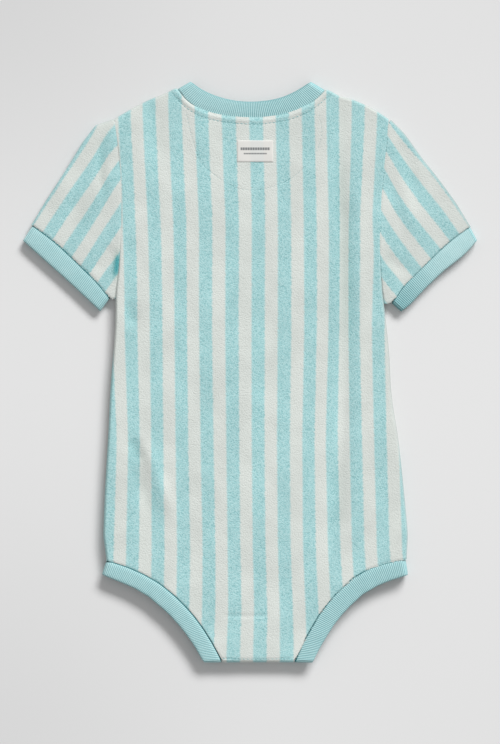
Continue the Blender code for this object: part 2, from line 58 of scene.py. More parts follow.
def evenly(line, shares):
    # points of a line at these shares of its length
    run = runOf(line)
    return np.column_stack([np.interp(np.asarray(shares) * run[-1], run, axis) for axis in line.T])


def softened(line, window):
    # evens out the corners of a finely cut line, whose ends stay where they are
    step = runOf(line)[-1] / (len(line) - 1)
    half = min(int(window / step / 2), len(line) - 2)
    if half < 1:
        return line
    ahead = 2 * line[0] - line[half:0:-1]
    behind = 2 * line[-1] - line[-2 : -2 - half : -1]
    padded = np.vstack([ahead, line, behind])
    weights = np.concatenate([np.arange(1, half + 2), np.arange(half, 0, -1)]).astype(float)
    weights /= weights.sum()
    return np.column_stack([np.convolve(axis, weights, "valid") for axis in padded.T])


def nearLine(points, line):
    # distance in plan of each point from a line, its side (1 is left), and the length passed there
    gap, side, along = np.full(len(points), 1e9), np.zeros(len(points)), np.zeros(len(points))
    for start, end, passed in zip(line[:-1], line[1:], runOf(line)):
        step = end - start
        share = np.clip((points - start) @ step / (step @ step), 0, 1)
        away = points - start - share[:, None] * step
        reach = np.hypot(away[:, 0], away[:, 1])
        closer = reach < gap
        gap = np.where(closer, reach, gap)
        side = np.where(closer, np.sign(step[0] * away[:, 1] - step[1] * away[:, 0]), side)
        along = np.where(closer, passed + share * np.hypot(*step), along)
    return gap, side, along


def curve(points, count):
    # evenly spaced points on a smooth line through the given ones
    knots = np.array(points, float)
    ends = np.vstack([2 * knots[0] - knots[1], knots, 2 * knots[-1] - knots[-2]])
    t = np.linspace(0, 1, 16, endpoint=False)[:, None]
    spans = [
        b + 0.5 * t * (c - a + t * (2 * a - 5 * b + 4 * c - d + t * (3 * (b - c) + d - a)))
        for a, b, c, d in zip(ends, ends[1:], ends[2:], ends[3:])
    ]
    return evenly(np.vstack(spans + [knots[-1:]]), np.linspace(0, 1, count))


def outline(name, start, end, side, window=9.0, step=1.0):
    # a piece's edge in plan: its farthest reach to the left (side 1) or right (-1) of a straight line
    mesh = frame["nodes"][name].data
    places = np.array([vertex.co[:2] for vertex in mesh.vertices]) / mm
    ends = places[np.array([edge.vertices[:] for edge in mesh.edges])] - start
    chord = np.array(end, float) - start
    length = np.hypot(*chord)
    ahead = chord / length
    aside = side * np.array([-ahead[1], ahead[0]])
    along, reach = ends @ ahead, ends @ aside
    low, high = along.min(1), along.max(1)
    line = []
    for stop in np.linspace(0.05, length - 0.05, int(length / step) + 2):
        cut = (low <= stop) & (high >= stop) & (high - low > 1e-4)
        if not cut.any():
            continue
        share = (stop - along[cut, 0]) / (along[cut, 1] - along[cut, 0])
        farthest = (reach[cut, 0] + share * (reach[cut, 1] - reach[cut, 0])).max()
        line.append(start + ahead * stop + aside * farthest)
    return softened(np.array(line), window)


def uneven(x, y, size, seed):
    # slow ups and downs from -1 to 1, on a lattice of this size
    draws = np.random.default_rng(seed).uniform(-1, 1, (64, 64))
    u, v = np.asarray(x) / size, np.asarray(y) / size
    i, j = np.floor(u).astype(int), np.floor(v).astype(int)
    a, b = smooth(u - i, 0, 1), smooth(v - j, 0, 1)
    low = draws[i % 64, j % 64] * (1 - a) + draws[(i + 1) % 64, j % 64] * a
    high = draws[i % 64, (j + 1) % 64] * (1 - a) + draws[(i + 1) % 64, (j + 1) % 64] * a
    return low * (1 - b) + high * b


creaseFade = 0.3        # share of a crease's length over which it dies out
lipAt = 1.9             # how many widths beside a trough its lip stands


def creased(points, creases):
    # rise of the cloth from soft troughs and ridges: along a line, across its width, fading at its ends
    rise = np.zeros(len(points))
    for crease in creases:
        line = curve(crease["line"], 24)
        gap, side, along = nearLine(points, line)
        length = runOf(line)[-1]
        fade = creaseFade * length
        strength = 0.25 + 0.75 * smooth(along, 0, fade) * smooth(length - along, 0, fade)
        across = gap * side / crease["width"]
        rise += crease["height"] * strength * np.exp(-(across**2))
        rise += crease.get("lip", 0.0) * strength * np.exp(-((across - lipAt) ** 2))
    return rise


# the painted crease shade deepens no further than this
deepestShade = 5.4


def shadeAndNapOver(points, rows):
    # 0 where the nap stands up, 1 where it is parted, and more in the depth of a crease: painted crease
    # shade as well as parted nap
    shade = np.zeros(len(points))
    for row in rows:
        line = curve(row["line"], 24)
        gap, _, along = nearLine(points, line)
        length = runOf(line)[-1]
        ends = smooth(along, 0, 0.35 * length) * smooth(length - along, 0, 0.35 * length)
        shade += row["strength"] * (0.2 + 0.8 * ends) * np.exp(-((gap / row["width"]) ** 2))
    return np.clip(shade, 0, deepestShade)


def unevenAt(points, size, seed):
    return uneven(points[:, 0] + 300, points[:, 1] + 300, size, seed)


def stripeNumber(place, across, table):
    # number of the stripe at each point; the table's rows give the middle of each named stripe
    rows = np.array(sorted(table["rows"]), float)
    soft = table["soft"] * np.array([-1.0, -0.5, 0.0, 0.5, 1.0])
    middles = [
        sum(np.interp(place + away, rows[:, 0], rows[:, k + 1]) for away in soft) / len(soft)
        for k in range(len(table["stripes"]))
    ]
    number = np.zeros(len(across))
    for k, (low, high) in enumerate(zip(middles, middles[1:])):
        first, second = table["stripes"][k : k + 2]
        share = (across - low) / (high - low)
        number = np.where((across >= low) | (k == 0), first + share * (second - first), number)
    return number


def gridFaces(columns, rows, closed=False):
    i, j = np.meshgrid(np.arange(columns if closed else columns - 1), np.arange(rows - 1), indexing="ij")
    i, j = i.ravel(), j.ravel()
    after = (i + 1) % columns
    return np.column_stack([i * rows + j, after * rows + j, after * rows + j + 1, i * rows + j + 1])


def meshPiece(name, points, faces, marks):
    # a smooth piece from points in millimetres, with its marks kept as attributes
    mesh = bpy.data.meshes.new(name)
    faceList = faces if isinstance(faces, list) else faces.tolist()
    mesh.from_pydata((np.asarray(points) * mm).tolist(), [], faceList)
    for mark, values in marks.items():
        values = np.asarray(values, np.float32)
        kind, field = ("FLOAT", "value") if values.ndim == 1 else ("FLOAT_VECTOR", "vector")
        mesh.attributes.new(mark, kind, "POINT").data.foreach_set(field, values.ravel())
    mesh.shade_smooth()
    piece = bpy.data.objects.new(name, mesh)
    bpy.context.scene.collection.objects.link(piece)
    return piece


def withSelected(piece):
    bpy.ops.object.select_all(action="DESELECT")
    piece.select_set(True)
    bpy.context.view_layer.objects.active = piece


def turnOutwards(piece):
    shell = bmesh.new()
    shell.from_mesh(piece.data)
    bmesh.ops.recalc_face_normals(shell, faces=shell.faces)
    shell.to_mesh(piece.data)
    shell.free()


def thicken(piece, wall):
    # gives a sheet its wall, inwards from its outer face
    solid = piece.modifiers.new("wall", "SOLIDIFY")
    solid.thickness = wall * mm
    solid.offset = -1.0
    solid.use_quality_normals = True
    withSelected(piece)
    bpy.ops.object.modifier_apply(modifier="wall")


def roundEdges(piece, width, segments):
    edge = piece.modifiers.new("edge", "BEVEL")
    edge.width = width * mm
    edge.segments = segments
    edge.limit_method = "ANGLE"
    edge.angle_limit = math.radians(50)
    withSelected(piece)
    bpy.ops.object.modifier_apply(modifier="edge")
    piece.data.shade_smooth()


def dress(piece, material, node):
    piece.data.materials.clear()
    piece.data.materials.append(material)
    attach(piece, "root")
    if node:
        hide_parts(node)


def addNode(tree, kind, inputs=None, **settings):
    made = tree.nodes.new(kind)
    for key, value in settings.items():
        setattr(made, key, value)
    for key, value in (inputs or {}).items():
        if isinstance(value, bpy.types.NodeSocket):
            tree.links.new(value, made.inputs[key])
        else:
            made.inputs[key].default_value = value
    return made


def maths(tree, operation, *values):
    return addNode(tree, "ShaderNodeMath", dict(enumerate(values)), operation=operation).outputs[0]


def plus(tree, first, second):
    return maths(tree, "ADD", first, second)


def minus(tree, first, second):
    return maths(tree, "SUBTRACT", first, second)


def times(tree, first, second):
    return maths(tree, "MULTIPLY", first, second)


def offMiddleOf(tree, value):
    # how far the fraction of a value is from a half
    return maths(tree, "ABSOLUTE", minus(tree, maths(tree, "FRACT", value), 0.5))


def ramp(tree, value, low, high, start=0.0, end=1.0):
    inputs = {"Value": value, "From Min": low, "From Max": high, "To Min": start, "To Max": end}
    return addNode(tree, "ShaderNodeMapRange", inputs, interpolation_type="SMOOTHSTEP").outputs[0]


def blended(tree, share, first, second, way="MIX"):
    inputs = {0: share, 6: first, 7: second}
    return addNode(tree, "ShaderNodeMix", inputs, data_type="RGBA", blend_type=way).outputs[2]


def noise(tree, place, scale, detail, **more):
    inputs = {"Vector": place, "Scale": scale, "Detail": detail, **more}
    return addNode(tree, "ShaderNodeTexNoise", inputs).outputs


def attribute(tree, name, output="Fac"):
    return addNode(tree, "ShaderNodeAttribute", attribute_name=name).outputs[output]


def objectPlace(tree):
    return addNode(tree, "ShaderNodeTexCoord").outputs["Object"]


def joinSurface(tree, shader, colour, height, strength, depth):
    # colour and bump of a cloth, into its shader
    tree.links.new(colour, shader.inputs["Base Color"])
    bump = addNode(tree, "ShaderNodeBump", {"Strength": strength, "Distance": depth * mm, "Height": height})
    tree.links.new(bump.outputs[0], shader.inputs["Normal"])


def newGroup(name, inputs, outputs):
    # inputs are (name, kind, value) and outputs (name, kind)
    tree = bpy.data.node_groups.new(name, "ShaderNodeTree")
    for label, kind, value in inputs:
        socket = tree.interface.new_socket(label, in_out="INPUT", socket_type="NodeSocket" + kind)
        socket.default_value = value
    for label, kind in outputs:
        tree.interface.new_socket(label, in_out="OUTPUT", socket_type="NodeSocket" + kind)
    return tree, addNode(tree, "NodeGroupInput").outputs, addNode(tree, "NodeGroupOutput")


def newMaterial(name, **values):
    material = bpy.data.materials.new(name)
    material.use_nodes = True
    shader = material.node_tree.nodes["Principled BSDF"]
    for socket, value in values.items():
        shader.inputs[socket.replace("_", " ")].default_value = value
    return material, material.node_tree, shader


def placed(tree, group, **values):
    made = addNode(tree, "ShaderNodeGroup", node_tree=group)
    for socket, value in values.items():
        if isinstance(value, bpy.types.NodeSocket):
            tree.links.new(value, made.inputs[socket])
        else:
            made.inputs[socket].default_value = value
    return made.outputs


loopedPile = {
    "stray": 0.0006,        # how far the loops stray from their rows, in metres
    "grainScale": 1.35,     # fineness of the grain and of the fibre, against the loops
    "fibreScale": 3.5,
    # what each loop's own tone, the grain and the loop's dome add to the tone
    "tones": (0.35, 0.4, 0.3),
    # what the dome, the grain and the fibre add to the height
    "heights": (0.8, 0.35, 0.18),
    "dome": (0.85, 0.15),
    "gapDome": (0.5, 0.05),
    "gapGrain": (0.62, 0.45),
}


def makePileGroup():
    # looped pile: small light and dark loops, darker gaps, and slow changes where the nap lies another way
    tree, given, out = newGroup(
        "loopedPile",
        [("Place", "Vector", (0, 0, 0)), ("LoopSize", "Float", 1.3), ("Drift", "Float", 22.0)],
        [("Tone", "Float"), ("Gap", "Float"), ("Slow", "Float"), ("Height", "Float")],
    )
    p = loopedPile
    perMetre = maths(tree, "DIVIDE", 1000.0, given["LoopSize"])
    slowScale = maths(tree, "DIVIDE", 1000.0, given["Drift"])
    warp = noise(tree, given["Place"], perMetre, 1.0)["Color"]
    nudge = addNode(tree, "ShaderNodeVectorMath", {0: warp, 1: (0.5, 0.5, 0.5)}, operation="SUBTRACT")
    stray = addNode(tree, "ShaderNodeVectorMath", {0: nudge.outputs[0], 3: p["stray"]}, operation="SCALE")
    inputs = {0: given["Place"], 1: stray.outputs[0]}
    place = addNode(tree, "ShaderNodeVectorMath", inputs, operation="ADD").outputs[0]
    inputs = {"Vector": place, "Scale": perMetre, "Randomness": 1.0}
    loops = addNode(tree, "ShaderNodeTexVoronoi", inputs, feature="SMOOTH_F1").outputs
    grain = noise(tree, place, times(tree, perMetre, p["grainScale"]), 2.0, Roughness=0.6)["Fac"]
    fibre = noise(tree, place, times(tree, perMetre, p["fibreScale"]), 1.0)["Fac"]
    slow = noise(tree, given["Place"], slowScale, 2.0)["Fac"]
    dome = ramp(tree, loops["Distance"], *p["dome"])
    loopTone = addNode(tree, "ShaderNodeSeparateColor", {0: loops["Color"]}).outputs[0]
    tone = plus(tree, times(tree, loopTone, p["tones"][0]), times(tree, grain, p["tones"][1]))
    tone = plus(tree, tone, times(tree, dome, p["tones"][2]))
    gaps = times(tree, ramp(tree, dome, *p["gapDome"]), ramp(tree, grain, *p["gapGrain"]))
    height = plus(tree, times(tree, dome, p["heights"][0]), times(tree, grain, p["heights"][1]))
    height = plus(tree, height, times(tree, fibre, p["heights"][2]))
    for label, value in (("Tone", tone), ("Gap", gaps), ("Slow", slow), ("Height", height)):
        tree.links.new(value, out.inputs[label])
    return tree


def makeFibreGroup():
    # fine fibre of spun yarn: a mottled tone and a small height
    tree, given, out = newGroup(
        "spunFibre",
        [("Place", "Vector", (0, 0, 0)), ("FibreSize", "Float", 0.4)],
        [("Tone", "Float"), ("Height", "Float")],
    )
    perMetre = maths(tree, "DIVIDE", 1000.0, given["FibreSize"])
    fine = noise(tree, given["Place"], perMetre, 3.0, Roughness=0.65)["Fac"]
    broad = noise(tree, given["Place"], times(tree, perMetre, 0.06), 1.0)["Fac"]
    tone = plus(tree, times(tree, fine, 0.6), times(tree, broad, 0.4))
    tree.links.new(tone, out.inputs["Tone"])
    tree.links.new(fine, out.inputs["Height"])
    return tree


pileGroup = makePileGroup()
fibreGroup = makeFibreGroup()

towelling = {
    "aquaFoot": (0.150, 0.360, 0.380, 1),       # what shows between the loops
    "creamFoot": (0.590, 0.630, 0.597, 1),
    "aquaDeep": (0.300, 0.556, 0.570, 1),
    "aqua": (0.372, 0.630, 0.642, 1),
    "aquaPale": (0.462, 0.708, 0.716, 1),
    "creamDeep": (0.650, 0.688, 0.652, 1),
    "cream": (0.670, 0.708, 0.672, 1),
    "creamPale": (0.692, 0.728, 0.694, 1),
    "stitchDark": (0.085, 0.235, 0.245, 1),
    "foldShadeColour": (0.275, 0.315, 0.305, 1),       # painted shade, greyed like loops seen from the side, where the cloth folds over towards the light
    "aquaHalf": 0.254,      # half width of an aqua stripe, as a share of the repeat
    "edgeBlur": 0.045,
    "edgeWander": 0.09,
    "deepTone": (0.34, 0.5),        # tones between which the loops go from deep to plain, and to pale
    "paleTone": (0.52, 0.68),
    "slowLight": (0.3, 0.7, 0.96, 1.04),
    "bump": 0.27,
    "bumpDepth": 0.6,
    "footShows": 0.30,
    "napShadeFoot": 0.5,         # how much more of the foot, and how much deeper a tone, show where the nap is parted under the painted crease shade
    "napShadeTone": 0.10,
    # how much light the painted crease shade takes away
    "shadeDim": 0.15,
    "shadeTint": (0.055, 0.045),      # how much less green and blue the painted crease shade dims
    "bounceTintFrom": 1.5,         # beyond this the mark is in the depth of a fold, where light coming back is painted in as a tint of the shade
    "bounceTint": (0.045, 0.070),
    "seamWander": 1.6,      # how raggedly the pressed pile lies along a stitch line
    "seamWidth": (0.85, 0.15),
    "seamPatches": (0.62, 0.42, 0.15, 1.0),
    "seamOnAqua": 0.62,     # how much darker it shows on the aqua than on the cream
    "seamOnCream": 0.16,
    "seamDepth": 0.8,
}


def makeTowelling():
    t = towelling
    material, tree, shader = newMaterial(
        "towelling", Roughness=0.95, Sheen_Weight=0.25, Sheen_Roughness=0.55, Specular_IOR_Level=0.15
    )
    pile = placed(tree, pileGroup, Place=objectPlace(tree), LoopSize=0.8, Drift=24.0)
    wander = times(tree, minus(tree, pile["Tone"], 0.5), t["edgeWander"])
    offMiddle = offMiddleOf(tree, plus(tree, plus(tree, attribute(tree, "stripe"), wander), 0.5))
    isAqua = ramp(tree, offMiddle, t["aquaHalf"] + t["edgeBlur"], t["aquaHalf"] - t["edgeBlur"])
    # painted shade in creases and folds, where the nap is also parted: darker, with more of its foot
    # showing, and tinted in the depth
    napAndShade = attribute(tree, "napAndShade")
    tone = minus(tree, pile["Tone"], times(tree, napAndShade, t["napShadeTone"]))
    foot = times(tree, pile["Gap"], plus(tree, times(tree, napAndShade, t["napShadeFoot"]), t["footShows"]))
    yarns = {}
    for yarn in ("aqua", "cream"):
        yarnTone = blended(tree, ramp(tree, tone, *t["deepTone"]), t[yarn + "Deep"], t[yarn])
        yarnTone = blended(tree, ramp(tree, tone, *t["paleTone"]), yarnTone, t[yarn + "Pale"])
        yarns[yarn] = blended(tree, foot, yarnTone, t[yarn + "Foot"])
    colour = blended(tree, isAqua, yarns["cream"], yarns["aqua"])
    # painted shade on the folds that turn towards the light
    colour = blended(tree, attribute(tree, "folded"), colour, t["foldShadeColour"])
    light = minus(tree, ramp(tree, pile["Slow"], *t["slowLight"]), times(tree, napAndShade, t["shadeDim"]))
    bounceShare = maths(tree, "MAXIMUM", minus(tree, napAndShade, t["bounceTintFrom"]), 0.0)
    tints = []
    for share, more in zip(t["shadeTint"], t["bounceTint"]):
        tints.append(plus(tree, light, plus(tree, times(tree, napAndShade, share), times(tree, bounceShare, more))))
    shade = addNode(tree, "ShaderNodeCombineColor", {0: light, 1: tints[0], 2: tints[1]}).outputs[0]
    colour = blended(tree, 1.0, colour, shade, "MULTIPLY")
    # lines of stitching press the pile down, so that its dark foot shows there in blotches, darkened
    # further as painted shade in the groove
    ragged = times(tree, minus(tree, tone, 0.5), t["seamWander"])
    away = maths(tree, "ABSOLUTE", plus(tree, attribute(tree, "seam"), ragged))
    onLine = times(tree, ramp(tree, away, *t["seamWidth"]), attribute(tree, "seamNear"))
    patchy = times(tree, onLine, ramp(tree, tone, *t["seamPatches"]))
    yarnShare = plus(tree, times(tree, isAqua, t["seamOnAqua"]), t["seamOnCream"])
    colour = blended(tree, times(tree, patchy, yarnShare), colour, t["stitchDark"])
    height = minus(tree, pile["Height"], times(tree, onLine, t["seamDepth"]))
    joinSurface(tree, shader, colour, height, t["bump"], t["bumpDepth"])
    return material


ribKnit = {
    # painted shade in the valleys between wales
    "valleyShade": (0.215, 0.455, 0.480, 1),
    "wale": (0.435, 0.690, 0.705, 1),
    "pale": (0.560, 0.795, 0.805, 1),
    # the dark line at a band's seam: its thread, and painted shade in the gap beside the towelling
    "seamLine": (0.030, 0.150, 0.165, 1),
    "rimShadeColour": (0.120, 0.270, 0.285, 1),
    "rimShade": 0.235,      # how much the painted shade darkens the yarn where a band turns over
    "course": 1.05,         # height of one stitch along a wale
    "slant": 1.3,
    "stitchEdge": (0.5, 0.25),
    "valleyWidth": 0.22,    # how the painted valley shade widens where the wales stand apart
    "waleEdge": (0.2, 0.26),
    "fibreTone": 0.8,
    "stitchTone": 0.25,
    "yarnTone": (0.35, 0.85),
    "ragged": 0.9,          # unevenness of the dark line at a band's seam
    "raggedEdge": (0.3, 0.75),
    "relief": 0.6,
    "bump": 0.5,
    "bumpDepth": 0.3,
}


def makeRibKnit(wale):
    # one-by-one rib: each wale is a row of slanted half stitches, with a valley beside it painted dark as
    # shade
    t = ribKnit
    material, tree, shader = newMaterial(
        "rib", Roughness=0.88, Sheen_Weight=0.15, Sheen_Roughness=0.5, Specular_IOR_Level=0.2
    )
    axes = addNode(tree, "ShaderNodeSeparateXYZ", {0: attribute(tree, "knit", "Vector")}).outputs
    fibre = placed(tree, fibreGroup, Place=objectPlace(tree), FibreSize=0.45)
    offMiddle = offMiddleOf(tree, maths(tree, "DIVIDE", axes["X"], wale))
    rows = plus(tree, maths(tree, "DIVIDE", axes["Y"], t["course"]), times(tree, offMiddle, t["slant"]))
    stitch = ramp(tree, offMiddleOf(tree, rows), *t["stitchEdge"])
    # how far the wales stand apart, which also darkens them as painted shade
    apartAndShade = attribute(tree, "open")
    waleEdge = plus(tree, t["waleEdge"][0], times(tree, apartAndShade, t["waleEdge"][1]))
    onWale = ramp(tree, offMiddle, times(tree, apartAndShade, t["valleyWidth"]), waleEdge)
    tone = plus(tree, times(tree, fibre["Tone"], t["fibreTone"]), times(tree, stitch, t["stitchTone"]))
    yarn = blended(tree, ramp(tree, tone, *t["yarnTone"]), t["wale"], t["pale"])
    # painted shade in the valleys between the wales, over the shading of their relief
    colour = blended(tree, onWale, t["valleyShade"], yarn)
    # the dark line at the seam: thread, and painted shade in the gap
    ragged = times(tree, minus(tree, fibre["Tone"], 0.5), t["ragged"])
    ragged = plus(tree, attribute(tree, "seamNear"), ragged)
    colour = blended(tree, ramp(tree, ragged, *t["raggedEdge"]), colour, t["seamLine"])
    # painted shade where a band turns over, most where it turns towards the light
    colour = blended(tree, times(tree, attribute(tree, "rim"), t["rimShade"]), colour, t["rimShadeColour"])
    height = plus(tree, times(tree, stitch, t["relief"]), times(tree, fibre["Height"], t["relief"]))
    joinSurface(tree, shader, colour, height, t["bump"], t["bumpDepth"])
    return material


panel = {
    "cell": 1.45,     # size of a square of the cloth mesh
    "wall": 2.2,
    "top": 7.2,             # outer face of the back
    "sideSeam": 3.6,        # level at which back and front meet
    "roll": 2.2,            # how far in from the side the cloth turns over
    "folded": (0.15, 0.75, 0.75),   # how much painted shade the rolled folds get, most where they turn towards the light: left, right and shoulders
    "insets": (0.0, 0.06, 0.24, 0.55, 1.0, 1.55, 2.2, 3.4),
    "shoulders": ((-105.0, 195.0), (106.3, 195.0)),
    "hips": ((-111.0, -145.0), (119.5, -143.8)),
    "neckTips": (-55.8, 57.4),
    "crotchTips": (-22.6, 33.3),
    # how far the sides stand out: (height, spread, left, right)
    "sidesOut": [(-15.0, 26.0, 0.9, -1.7), (62.0, 16.0, 1.0, 0.0)],
    "underarm": 97.0,
    "underarmBlend": 40.0,
    "neckBlend": 18.0,
    "tipRise": 1.1,         # how far the pile bulks up beside the neckband
    # how far each sewn edge is drawn down, and over what width
    "seamDips": {"neck": 0.1, "leg": 0.25, "left": 0.12, "right": 0.1},
    "seamDipWidth": 0.7,
    "relief": 0.014,        # unevenness of the pile
    "beside": (0.35, 2.8, 1.4),     # swelling of the back beside the neckband: height, place and width
    "swells": [(0.28, 34, 3), (0.10, 11, 4)],   # slow unevenness of the back: height, size and seed
}

crotch = {
    "fold": -223.7,
    "rise": 0.6,
    "riseLength": 30.0,
    "tabBase": 2.5,
    "tabEnd": -198.0,
    "lastStripes": -221.0,  # the stripes of this height run on round the fold
    "turns": 12,
}

snap = {
    "places": ((-11.65, -209.0), (5.35, -209.0), (22.35, -209.0)),
    "tabHole": 2.3,
    "flapHole": 4.9,
    "segments": 48,
    "cap": (4.6, 2.2),          # radius and height of the ring
    "rim": 2.2,                 # width of the ring, from its edge to the dish
    "dish": (0.25, 0.4),        # slope and depth of the dish in it
    "boss": (0.9, 0.18),        # inset and height of the swelling in the dish
    "stud": (2.6, 2.2),         # how far in from the cap's edge the stud stands, and its height
    "edge": 0.3,
}

backStripes = {
    # where the middle of each of these aqua stripes lies at a height; the ones between are evenly spaced
    "stripes": (-5, -4, -2, -1, 0, 2, 3, 4, 5),
    "soft": 9.0,            # over what distance the bends are evened out
    "rows": [
        (205.0, -97.2, -78.2, -38.0, -16.8, 4.3, 44.5, 63.0, 83.0, 102.6),
        (190.0, -96.8, -77.8, -37.6, -16.6, 4.5, 44.8, 63.3, 82.8, 102.2),
        (150.0, -94.6, -76.0, -36.0, -15.4, 5.6, 45.4, 64.3, 80.8, 100.3),
        (117.0, -93.5, -74.2, -34.6, -13.9, 6.3, 46.1, 65.2, 79.3, 98.6),
        (95.0, -92.7, -73.4, -34.6, -14.0, 6.2, 46.3, 65.3, 79.0, 100.6),
        (60.0, -92.0, -72.8, -34.7, -14.1, 6.0, 46.5, 65.0, 79.0, 99.2),
        (32.0, -91.9, -72.5, -34.7, -14.2, 5.9, 46.5, 64.6, 79.2, 98.2),
        (-52.0, -89.6, -71.9, -33.5, -13.5, 5.9, 44.8, 62.4, 81.0, 100.0),
        (-137.0, -90.6, -71.0, -31.8, -12.7, 6.7, 45.4, 64.6, 82.8, 102.2),
        (-183.0, -92.0, -72.0, -32.1, -11.9, 7.9, 47.5, 67.0, 86.0, 105.5),
        (-214.0, -93.5, -73.5, -33.3, -13.3, 7.3, 48.5, 69.0, 89.0, 108.5),
    ],
}

frontStripes = {
    "stripes": (-5, -3, 0, 3, 5),
    "soft": 20.0,
    "rows": [
        (200.0, -98.5, -59.0, 0.5, 60.0, 99.5),
        (60.0, -95.5, -57.0, 1.5, 59.5, 98.0),
        (-80.0, -97.0, -58.0, 2.5, 61.5, 100.5),
        (-215.0, -96.0, -56.5, 4.5, 64.0, 104.0),
    ],
}

backCreases = [
    {
        "line": [(70.5, 207), (71.0, 140), (72.8, 100), (74.3, 32), (70, -60), (65, -128)],
        "width": 6.0, "height": -0.95, "lip": 0.3,
    },
    {"line": [(-94, 56), (-91.5, 44), (-88, 34)], "width": 5.0, "height": -0.7},
    {"line": [(-92, -50), (-87.5, -61), (-82, -70)], "width": 5.0, "height": -0.8},
    {"line": [(-83, -52), (-70, -84), (-58, -114)], "width": 5.5, "height": 0.9},
    {"line": [(-93, -66), (-82, -92), (-72, -118)], "width": 6.0, "height": -0.6},
    {"line": [(104, -96), (90, -114), (73, -133)], "width": 6.0, "height": 0.9},
    {"line": [(69, -64), (66, -96), (63, -130)], "width": 8.0, "height": -0.7},
    {"line": [(-74, 209), (-72, 185), (-69, 158)], "width": 7.0, "height": -0.6},
    {"line": [(14, 60), (19, 9), (16, -40)], "width": 12.0, "height": -0.5},
    {"line": [(-30, 120), (-34, 60), (-28, -10)], "width": 14.0, "height": 0.35},
    {"line": [(40, -20), (38, -90), (30, -160)], "width": 13.0, "height": 0.3},
]

# painted shade along creases and folds, where the nap is also parted, and how dark it is painted there
backShadeAndNap = [
    {"line": [(69, 196), (70.5, 150), (72.3, 100), (73, 40), (72, -10)], "width": 4.6, "strength": 1.05},
    {"line": [(70, -64), (66, -130)], "width": 7.0, "strength": 0.4},
    {"line": [(-94, 54), (-90, 36)], "width": 4.5, "strength": 0.5},
    {"line": [(-92, -50), (-82, -72)], "width": 5.0, "strength": 0.55},
    {"line": [(-88, -72), (-74, -114)], "width": 5.0, "strength": 0.35},
    {"line": [(17, 50), (19, -30)], "width": 9.0, "strength": 0.22},
    {"line": [(-76, 209), (-68, 155)], "width": 5.0, "strength": 0.3},
]

# painted shade along the front's creases, where the nap is also parted
frontShadeAndNap = [
    {"line": [(-66, 150), (-60, 60), (-64, -40)], "width": 6.0, "strength": 0.5},
    {"line": [(40, 110), (44, 30), (36, -60)], "width": 7.0, "strength": 0.4},
]

frontCreases = [
    {"line": [(-60, 150), (-52, 60), (-57, -40)], "width": 7.0, "height": 0.9},
    {"line": [(30, 120), (36, 40), (28, -60)], "width": 8.0, "height": 0.7},
    {"line": [(70, -20), (60, -80), (46, -130)], "width": 6.0, "height": 0.8},
    {"line": [(-84, -60), (-66, -104), (-44, -140)], "width": 5.5, "height": 0.7},
    {"line": [(-10, 20), (-16, -70), (-6, -150)], "width": 9.0, "height": 0.5},
    {"line": [(80, 160), (84, 110), (80, 60)], "width": 6.0, "height": 0.6},
]

stitching = {
    "neckInset": 5.2,       # the topstitch below the neck seam
    "halfMoon": [
        (-49.5, 199.5), (-46.2, 184.5), (-42.2, 171.5), (-38.6, 161.8), (-31.0, 154.4), (-21.0, 147.0),
        (-10.5, 141.6), (1.5, 140.0), (12.0, 141.2), (22.5, 144.8), (32.0, 149.6), (41.0, 157.0),
        (48.5, 166.0), (53.5, 176.0), (54.8, 187.0), (52.2, 200.5),
    ],
    "placket": [(-18.2, -187.3), (-2.0, -187.9), (12.0, -187.6)],
    "crotchEdge": [(-22.0, -220.4), (5.5, -220.9), (33.0, -220.4)],
    "grooves": (0.13, 0.1, 0.5, 0.3),      # depth for neck, half moon, placket and crotch
    "shades": (1.1, 0.9, 0.12, 0.9),        # how dark the pressed pile and the painted groove shade show in each
    "grooveWidth": 0.95,
    "pitch": 3.1,           # from one stitch to the next
    "near": (2.0, 4.0),     # the mark of a line fades between these distances
}


def columnShares():
    # share across the panel of each column, closer together at the rolled sides
    width = panel["shoulders"][1][0] - panel["shoulders"][0][0]
    left = panel["shoulders"][0][0]
    hipWidth = panel["hips"][1][0] - panel["hips"][0][0]
    neck = [(x - left) / width for x in panel["neckTips"]]
    low = [(x - panel["hips"][0][0]) / hipWidth for x in panel["crotchTips"]]
    edge = [inset / width for inset in panel["insets"]]
    stops = [edge[-1], neck[0], low[0], low[1], neck[1], 1 - edge[-1]]
    shares = list(edge)
    for start, end in zip(stops, stops[1:]):
        count = max(2, round((end - start) * width / panel["cell"]))
        shares.extend(np.linspace(start, end, count + 1)[1:])
    shares.extend(1 - value for value in reversed(edge[:-1]))
    return np.array(shares), low


def rollDrop(inset):
    # share of the drop to the seam, where the cloth turns over within the roll's width
    share = 1 - np.clip(inset / panel["roll"], 0, 1)
    return 1 - np.sqrt(1 - share**2.4)


